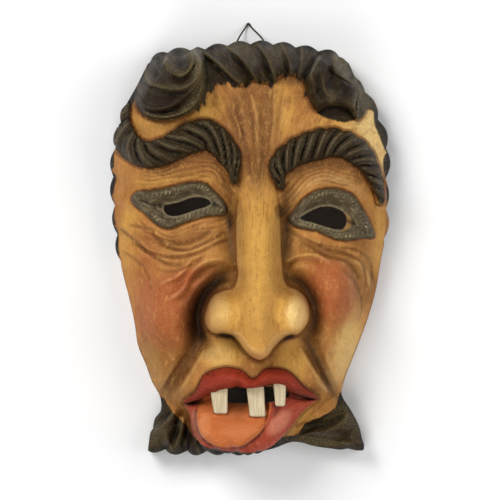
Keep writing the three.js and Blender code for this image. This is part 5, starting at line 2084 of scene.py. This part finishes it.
@dataclass(frozen=True)
class PaintedFace:
    """The painted front: glazed skin, dark hair and brows, grey lids, red lips and an orange tongue."""

    skin: Colour = (184, 126, 64)
    skin_deep: Colour = (152, 98, 46)
    streak_light: Colour = (208, 152, 82)
    streak_dark: Colour = (112, 66, 28)
    # pale and flushed: the painted highlight on the crests of the skin, plain and on the red cheeks
    pale: Colour = (226, 178, 108)
    rim: Colour = (222, 156, 84)
    flushed: Colour = (214, 142, 104)
    # deepest: the colour of the painted shade
    deepest: Colour = (30, 16, 6)
    # GOLD is partly and PALE mostly painted highlight; UMBER is partly painted shade in the folds
    glazes_and_painted_light: tuple[tuple[Tone, Colour, float], ...] = (
        (Tone.GOLD, (214, 164, 76), 0.9),
        (Tone.ROSE, (162, 76, 44), 0.85),
        (Tone.OLIVE, (112, 80, 36), 0.85),
        (Tone.SMUDGE, (104, 68, 36), 0.8),
        (Tone.UMBER, (72, 38, 14), 0.9),
        (Tone.PALE, (246, 212, 140), 0.95),
    )
    coats: tuple[Coat, ...] = (
        Coat("hair", (44, 31, 12), (18, 11, 4), (142, 126, 86), 0.5, 1.1, 0.7),
        Coat("brow", (48, 36, 18), (16, 10, 4), (138, 122, 88), 0.5, 0.9, 0.5),
        Coat("lid", (84, 72, 50), (44, 35, 22), (176, 162, 124), 0.2, 0.7, 0.8),
        Coat("ochre", (136, 102, 52), (80, 56, 28), (180, 146, 84), 0.1, 1.2, 0.3),
        # on the lips and the tongue the light colour is a painted sheen
        Coat("lower_lip", (164, 66, 43), (104, 36, 24), (214, 142, 112), 0.05, 0.5, 0.8, 0.3),
        Coat("upper_lip", (146, 50, 30), (86, 28, 18), (182, 88, 58), 0.05, 0.5, 0.4, 0.4),
        Coat("tongue", (190, 104, 54), (160, 82, 38), (220, 148, 96), 0.05, 0.5, 0.6, 0.4),
    )
    bump: float = 0.3

    def build(self, effects: Effects) -> Material:
        """Makes the material.

        Args:
            effects: the shared effects.

        Returns:
            The material.
        """
        material, nodes, shader = new_material("painted_face")
        fan, ring, flow = (
            nodes.group(effects.bristle, Across=nodes.mark(across), Fineness=fine, Length=length).outputs[0]
            for across, fine, length in (("fan", 0.75, 0.1), ("ring", 1.1, 0.12), ("flow", 1.6, 0.12))
        )
        streak = nodes.between(nodes.mark("ring_zone"), fan, ring)
        stipple = nodes.ramp(nodes.noise(nodes.place(), 700.0, 3.0), 0.3, 0.7, 0.15, 0.85)
        streak = nodes.between(nodes.times(nodes.mark("smooth"), 0.6), streak, stipple)
        grain = nodes.group(effects.grain, Scale=1.0, Figure=1.0).outputs["Line"]

        colour = self._skin(nodes, streak, grain)
        for coat in self.coats:
            edge = nodes.group(effects.edge, Depth=nodes.mark(coat.mark), Rag=coat.rag, Soft=coat.soft)
            colour = nodes.blend(edge.outputs["Mask"], colour, self._coat(nodes, coat, flow))

        # The painted shade goes over every coat.
        colour = nodes.blend(nodes.times(nodes.mark("shade"), 0.92), colour, self.deepest)
        nodes.feed(shader.inputs["Base Color"], colour)
        nodes.feed(shader.inputs["Roughness"], nodes.ramp(streak, 0.0, 1.0, 0.48, 0.68))
        height = nodes.maths("ADD", nodes.times(flow, 0.5), nodes.times(streak, 0.5))
        bump = nodes.add("ShaderNodeBump", None, Strength=self.bump, Distance=0.0006, Height=height)
        nodes.feed(shader.inputs["Normal"], bump.outputs[0])
        shader.inputs["Specular IOR Level"].default_value = 0.15
        return material

    def _skin(self, nodes: Nodes, streak: Socket, grain: Socket) -> Socket:
        """The glazed skin under the other coats, with its painted highlights and shade.

        Args:
            nodes: the layout.
            streak: the brush streaks.
            grain: the wood grain that shows through.

        Returns:
            Its colour.
        """
        broad = nodes.noise(nodes.place(), 42.0, 4.0)
        mottle = nodes.noise(nodes.place(), 210.0, 3.0)
        crest = nodes.mark("crest")
        colour = nodes.blend(nodes.ramp(broad, 0.36, 0.64, 0.0, 0.8), self.skin, self.skin_deep)
        for tone, tint, strength in self.glazes_and_painted_light:
            brushed = nodes.ramp(nodes.maths("ADD", streak, mottle), 0.5, 1.4, 0.6 * strength, strength)
            colour = nodes.blend(nodes.times(nodes.mark(tone.value), brushed), colour, tint)
        fine = nodes.noise(nodes.place(), 1100.0, 4.0, 0.7)
        drawn_out = nodes.noise(nodes.place((1, 0.5, 1)), 330.0, 4.0, 0.65)
        for value, low, high, most, over in (
            (nodes.mark("brow"), -2.4, -0.6, 0.35, self.streak_dark),
            (nodes.mark("lid"), -1.9, -1.0, 0.6, self.rim),
            (nodes.mark("lid"), -1.0, -0.4, 0.8, self.streak_dark),
            (streak, 0.62, 1.0, 0.38, self.streak_light),
            (streak, 0.36, 0.0, 0.45, self.streak_dark),
            # painted shade with some dirt in the hollows of the carving, and painted highlights with wear on
            # its crests
            (crest, -0.08, -0.7, 0.7, self.streak_dark),
            (crest, 0.1, 0.7, 0.4, nodes.blend(nodes.mark("rose"), self.pale, self.flushed)),
            (fine, 0.47, 0.3, 0.3, self.streak_dark),
            (fine, 0.54, 0.7, 0.45, self.streak_light),
            (drawn_out, 0.47, 0.3, 0.3, self.streak_dark),
            (drawn_out, 0.54, 0.7, 0.45, self.streak_light),
            (grain, 0.46, 0.62, 0.08, self.streak_dark),
        ):
            colour = nodes.blend(nodes.ramp(value, low, high, 0.0, most), colour, over)
        return colour

    def _coat(self, nodes: Nodes, coat: Coat, flow: Socket) -> Socket:
        """The colour of one opaque coat: painted shade in its valleys, worn paint and painted highlights on
        its ridges.

        Args:
            nodes: the layout.
            coat: the coat.
            flow: the brush streaks along the forms.

        Returns:
            Its colour.
        """
        # The light colour shows on worn ridges, as their painted highlight too, and as painted sheen on the
        # lips and the tongue.
        speckle = nodes.ramp(nodes.noise(nodes.place(), 1300.0, 3.0), 0.42, 0.6, 1.0 - coat.grit, 1.0)
        ridge = nodes.times(nodes.mark("ridge"), nodes.ramp(speckle, 0.0, 1.0, 0.4, 1.1))
        dust_and_sheen_share = nodes.times(nodes.mark("dust"), nodes.times(speckle, 0.75))
        lines = nodes.ramp(flow, 0.6, 1.0, 0.0, 0.3)
        worn = nodes.times(nodes.maths("MAXIMUM", nodes.maths("MAXIMUM", ridge, dust_and_sheen_share), lines), coat.worn)
        colour = nodes.blend(nodes.ramp(flow, 0.45, 0.0, 0.0, 0.5), coat.base, coat.deep)
        # Darker in the hollows: painted shade.
        colour = nodes.blend(nodes.ramp(nodes.mark("crest"), 0.0, -0.45), colour, coat.deep)
        return nodes.blend(worn, colour, coat.light)


@dataclass(frozen=True)
class BareWood:
    """Light carved wood, darkened a little by age and handling."""

    name: str
    light: Colour
    dark: Colour
    grain: float = 1.0
    rough: float = 0.62

    def build(self, effects: Effects) -> Material:
        """Makes the material.

        Args:
            effects: the shared effects.

        Returns:
            The material.
        """
        material, nodes, shader = new_material(self.name)
        grain = nodes.group(effects.grain, Scale=self.grain, Figure=1.6)
        patch = nodes.noise(nodes.place(), 40.0, 3.0)
        colour = nodes.blend(nodes.ramp(grain.outputs["Line"], 0.36, 0.64), self.light, self.dark)
        colour = nodes.blend(nodes.ramp(patch, 0.35, 0.7, 0.0, 0.35), colour, self.dark)
        colour = nodes.blend(nodes.times(grain.outputs["Pore"], 0.3), colour, self.dark)
        nodes.feed(shader.inputs["Base Color"], colour)
        rough = nodes.ramp(grain.outputs["Line"], 0.3, 0.7, self.rough - 0.06, self.rough + 0.08)
        nodes.feed(shader.inputs["Roughness"], rough)
        bump = nodes.add("ShaderNodeBump", None, Strength=0.3, Distance=0.0005, Height=grain.outputs["Line"])
        nodes.feed(shader.inputs["Normal"], bump.outputs[0])
        return material


@dataclass(frozen=True)
class DarkIron:
    """Thin iron wire, dull and browned."""

    base: Colour = (52, 46, 40)
    rust: Colour = (92, 62, 40)

    def build(self) -> Material:
        """Makes the material.

        Returns:
            The material.
        """
        material, nodes, shader = new_material("dark_iron")
        spot = nodes.noise(nodes.place(), 900.0, 4.0)
        nodes.feed(shader.inputs["Base Color"], nodes.blend(nodes.ramp(spot, 0.5, 0.7), self.base, self.rust))
        nodes.feed(shader.inputs["Roughness"], nodes.ramp(spot, 0.3, 0.7, 0.35, 0.6))
        shader.inputs["Metallic"].default_value = 0.85
        return material


@dataclass
class Studio:
    """A pale floor, soft light and a camera that looks straight down on the face."""

    centre: Point = (-0.0002, -0.0071)
    width: float = 0.325  # what the picture takes in at the height of the face
    face: float = 0.045
    distance: float = 3.0
    sensor: float = 0.036

    def build(self) -> None:
        """Sets the scene up."""
        scene = bpy.context.scene
        scene.view_settings.view_transform = "Standard"
        scene.view_settings.look = "None"
        self._floor()
        self._camera(scene)
        self._lamp("key", (-1.0, 1.1, 1.7), 1.0, 33.0)
        self._lamp("fill", (1.5, 0.2, 1.5), 1.4, 18.0)
        self._lamp("front", (-0.5, -1.4, 1.8), 1.4, 20.0)
        world = bpy.data.worlds.new("studio")
        world.use_nodes = True
        world.node_tree.nodes["Background"].inputs["Color"].default_value = (1, 1, 1, 1)
        world.node_tree.nodes["Background"].inputs["Strength"].default_value = 0.22
        scene.world = world

    def _camera(self, scene: bpy.types.Scene) -> None:
        """Places the camera over the face, with the crown at the top of the picture.

        Args:
            scene: the scene that it looks at.
        """
        lens = bpy.data.cameras.new("camera")
        lens.sensor_width = self.sensor * 1000
        lens.lens = self.sensor * 1000 * self.distance / self.width
        lens.clip_end = 20
        camera = bpy.data.objects.new("camera", lens)
        camera.location = (*self.centre, self.face + self.distance)
        bpy.context.collection.objects.link(camera)
        scene.camera = camera

    def _floor(self) -> None:
        """Lays the floor that the mask lies on."""
        shape = bmesh.new()
        bmesh.ops.create_grid(shape, x_segments=1, y_segments=1, size=3)
        material, _, shader = new_material("floor")
        shader.inputs["Base Color"].default_value = (0.9, 0.9, 0.9, 1)
        shader.inputs["Roughness"].default_value = 0.9
        floor = new_object("floor", shape, material)
        floor.location.z = -0.0002

    @staticmethod
    def _lamp(name: str, at: Place, size: float, power: float) -> None:
        """Hangs a soft lamp that points at the mask.

        Args:
            name: the lamp's name.
            at: its place, in metres.
            size: the width of its face.
            power: its strength, in watts.
        """
        light = bpy.data.lights.new(name, "AREA")
        light.size, light.energy = size, power
        lamp = bpy.data.objects.new(name, light)
        lamp.location = at
        lamp.rotation_euler = (-Vector(at)).to_track_quat("-Z", "Y").to_euler()
        bpy.context.collection.objects.link(lamp)


TEETH = (
    Tooth("tooth_left", (-18.9, -107), 13.0, 8.8, -1.9, -82),
    Tooth("tooth_middle", (5.0, -109), 11.4, 10.2, -2.0, -86.5),
    Tooth("tooth_right", (19.5, -102.3), 9.4, 6.2, -0.3, -82),
)


def settle_in(piece: Piece, node: str) -> None:
    """Makes a finished piece stand for its solid.

    Args:
        piece: the piece.
        node: the solid that it replaces.
    """
    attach(piece, "root")
    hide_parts(node)
    log.info("%s stands for %s", piece.name, node)


def main() -> None:
    """Builds every piece in order."""
    logging.basicConfig(level=logging.INFO, format="%(name)s: %(message)s")
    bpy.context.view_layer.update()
    effects = Effects()
    painted = PaintedFace().build(effects)
    bare = BareWood("bare_wood", (206, 170, 124), (160, 118, 74)).build(effects)
    tooth_wood = BareWood("tooth_wood", (204, 188, 154), (184, 164, 130), 2.2, 0.5).build(effects)
    settle_in(MaskWood(Carving(), (painted, bare)).build(TEETH), "mask")
    for tooth in TEETH:
        settle_in(tooth.build(tooth_wood), tooth.name)
    settle_in(HangingWire().build(DarkIron().build()), "hanging_wire")
    Studio().build()


if __name__ == "__main__":
    main()
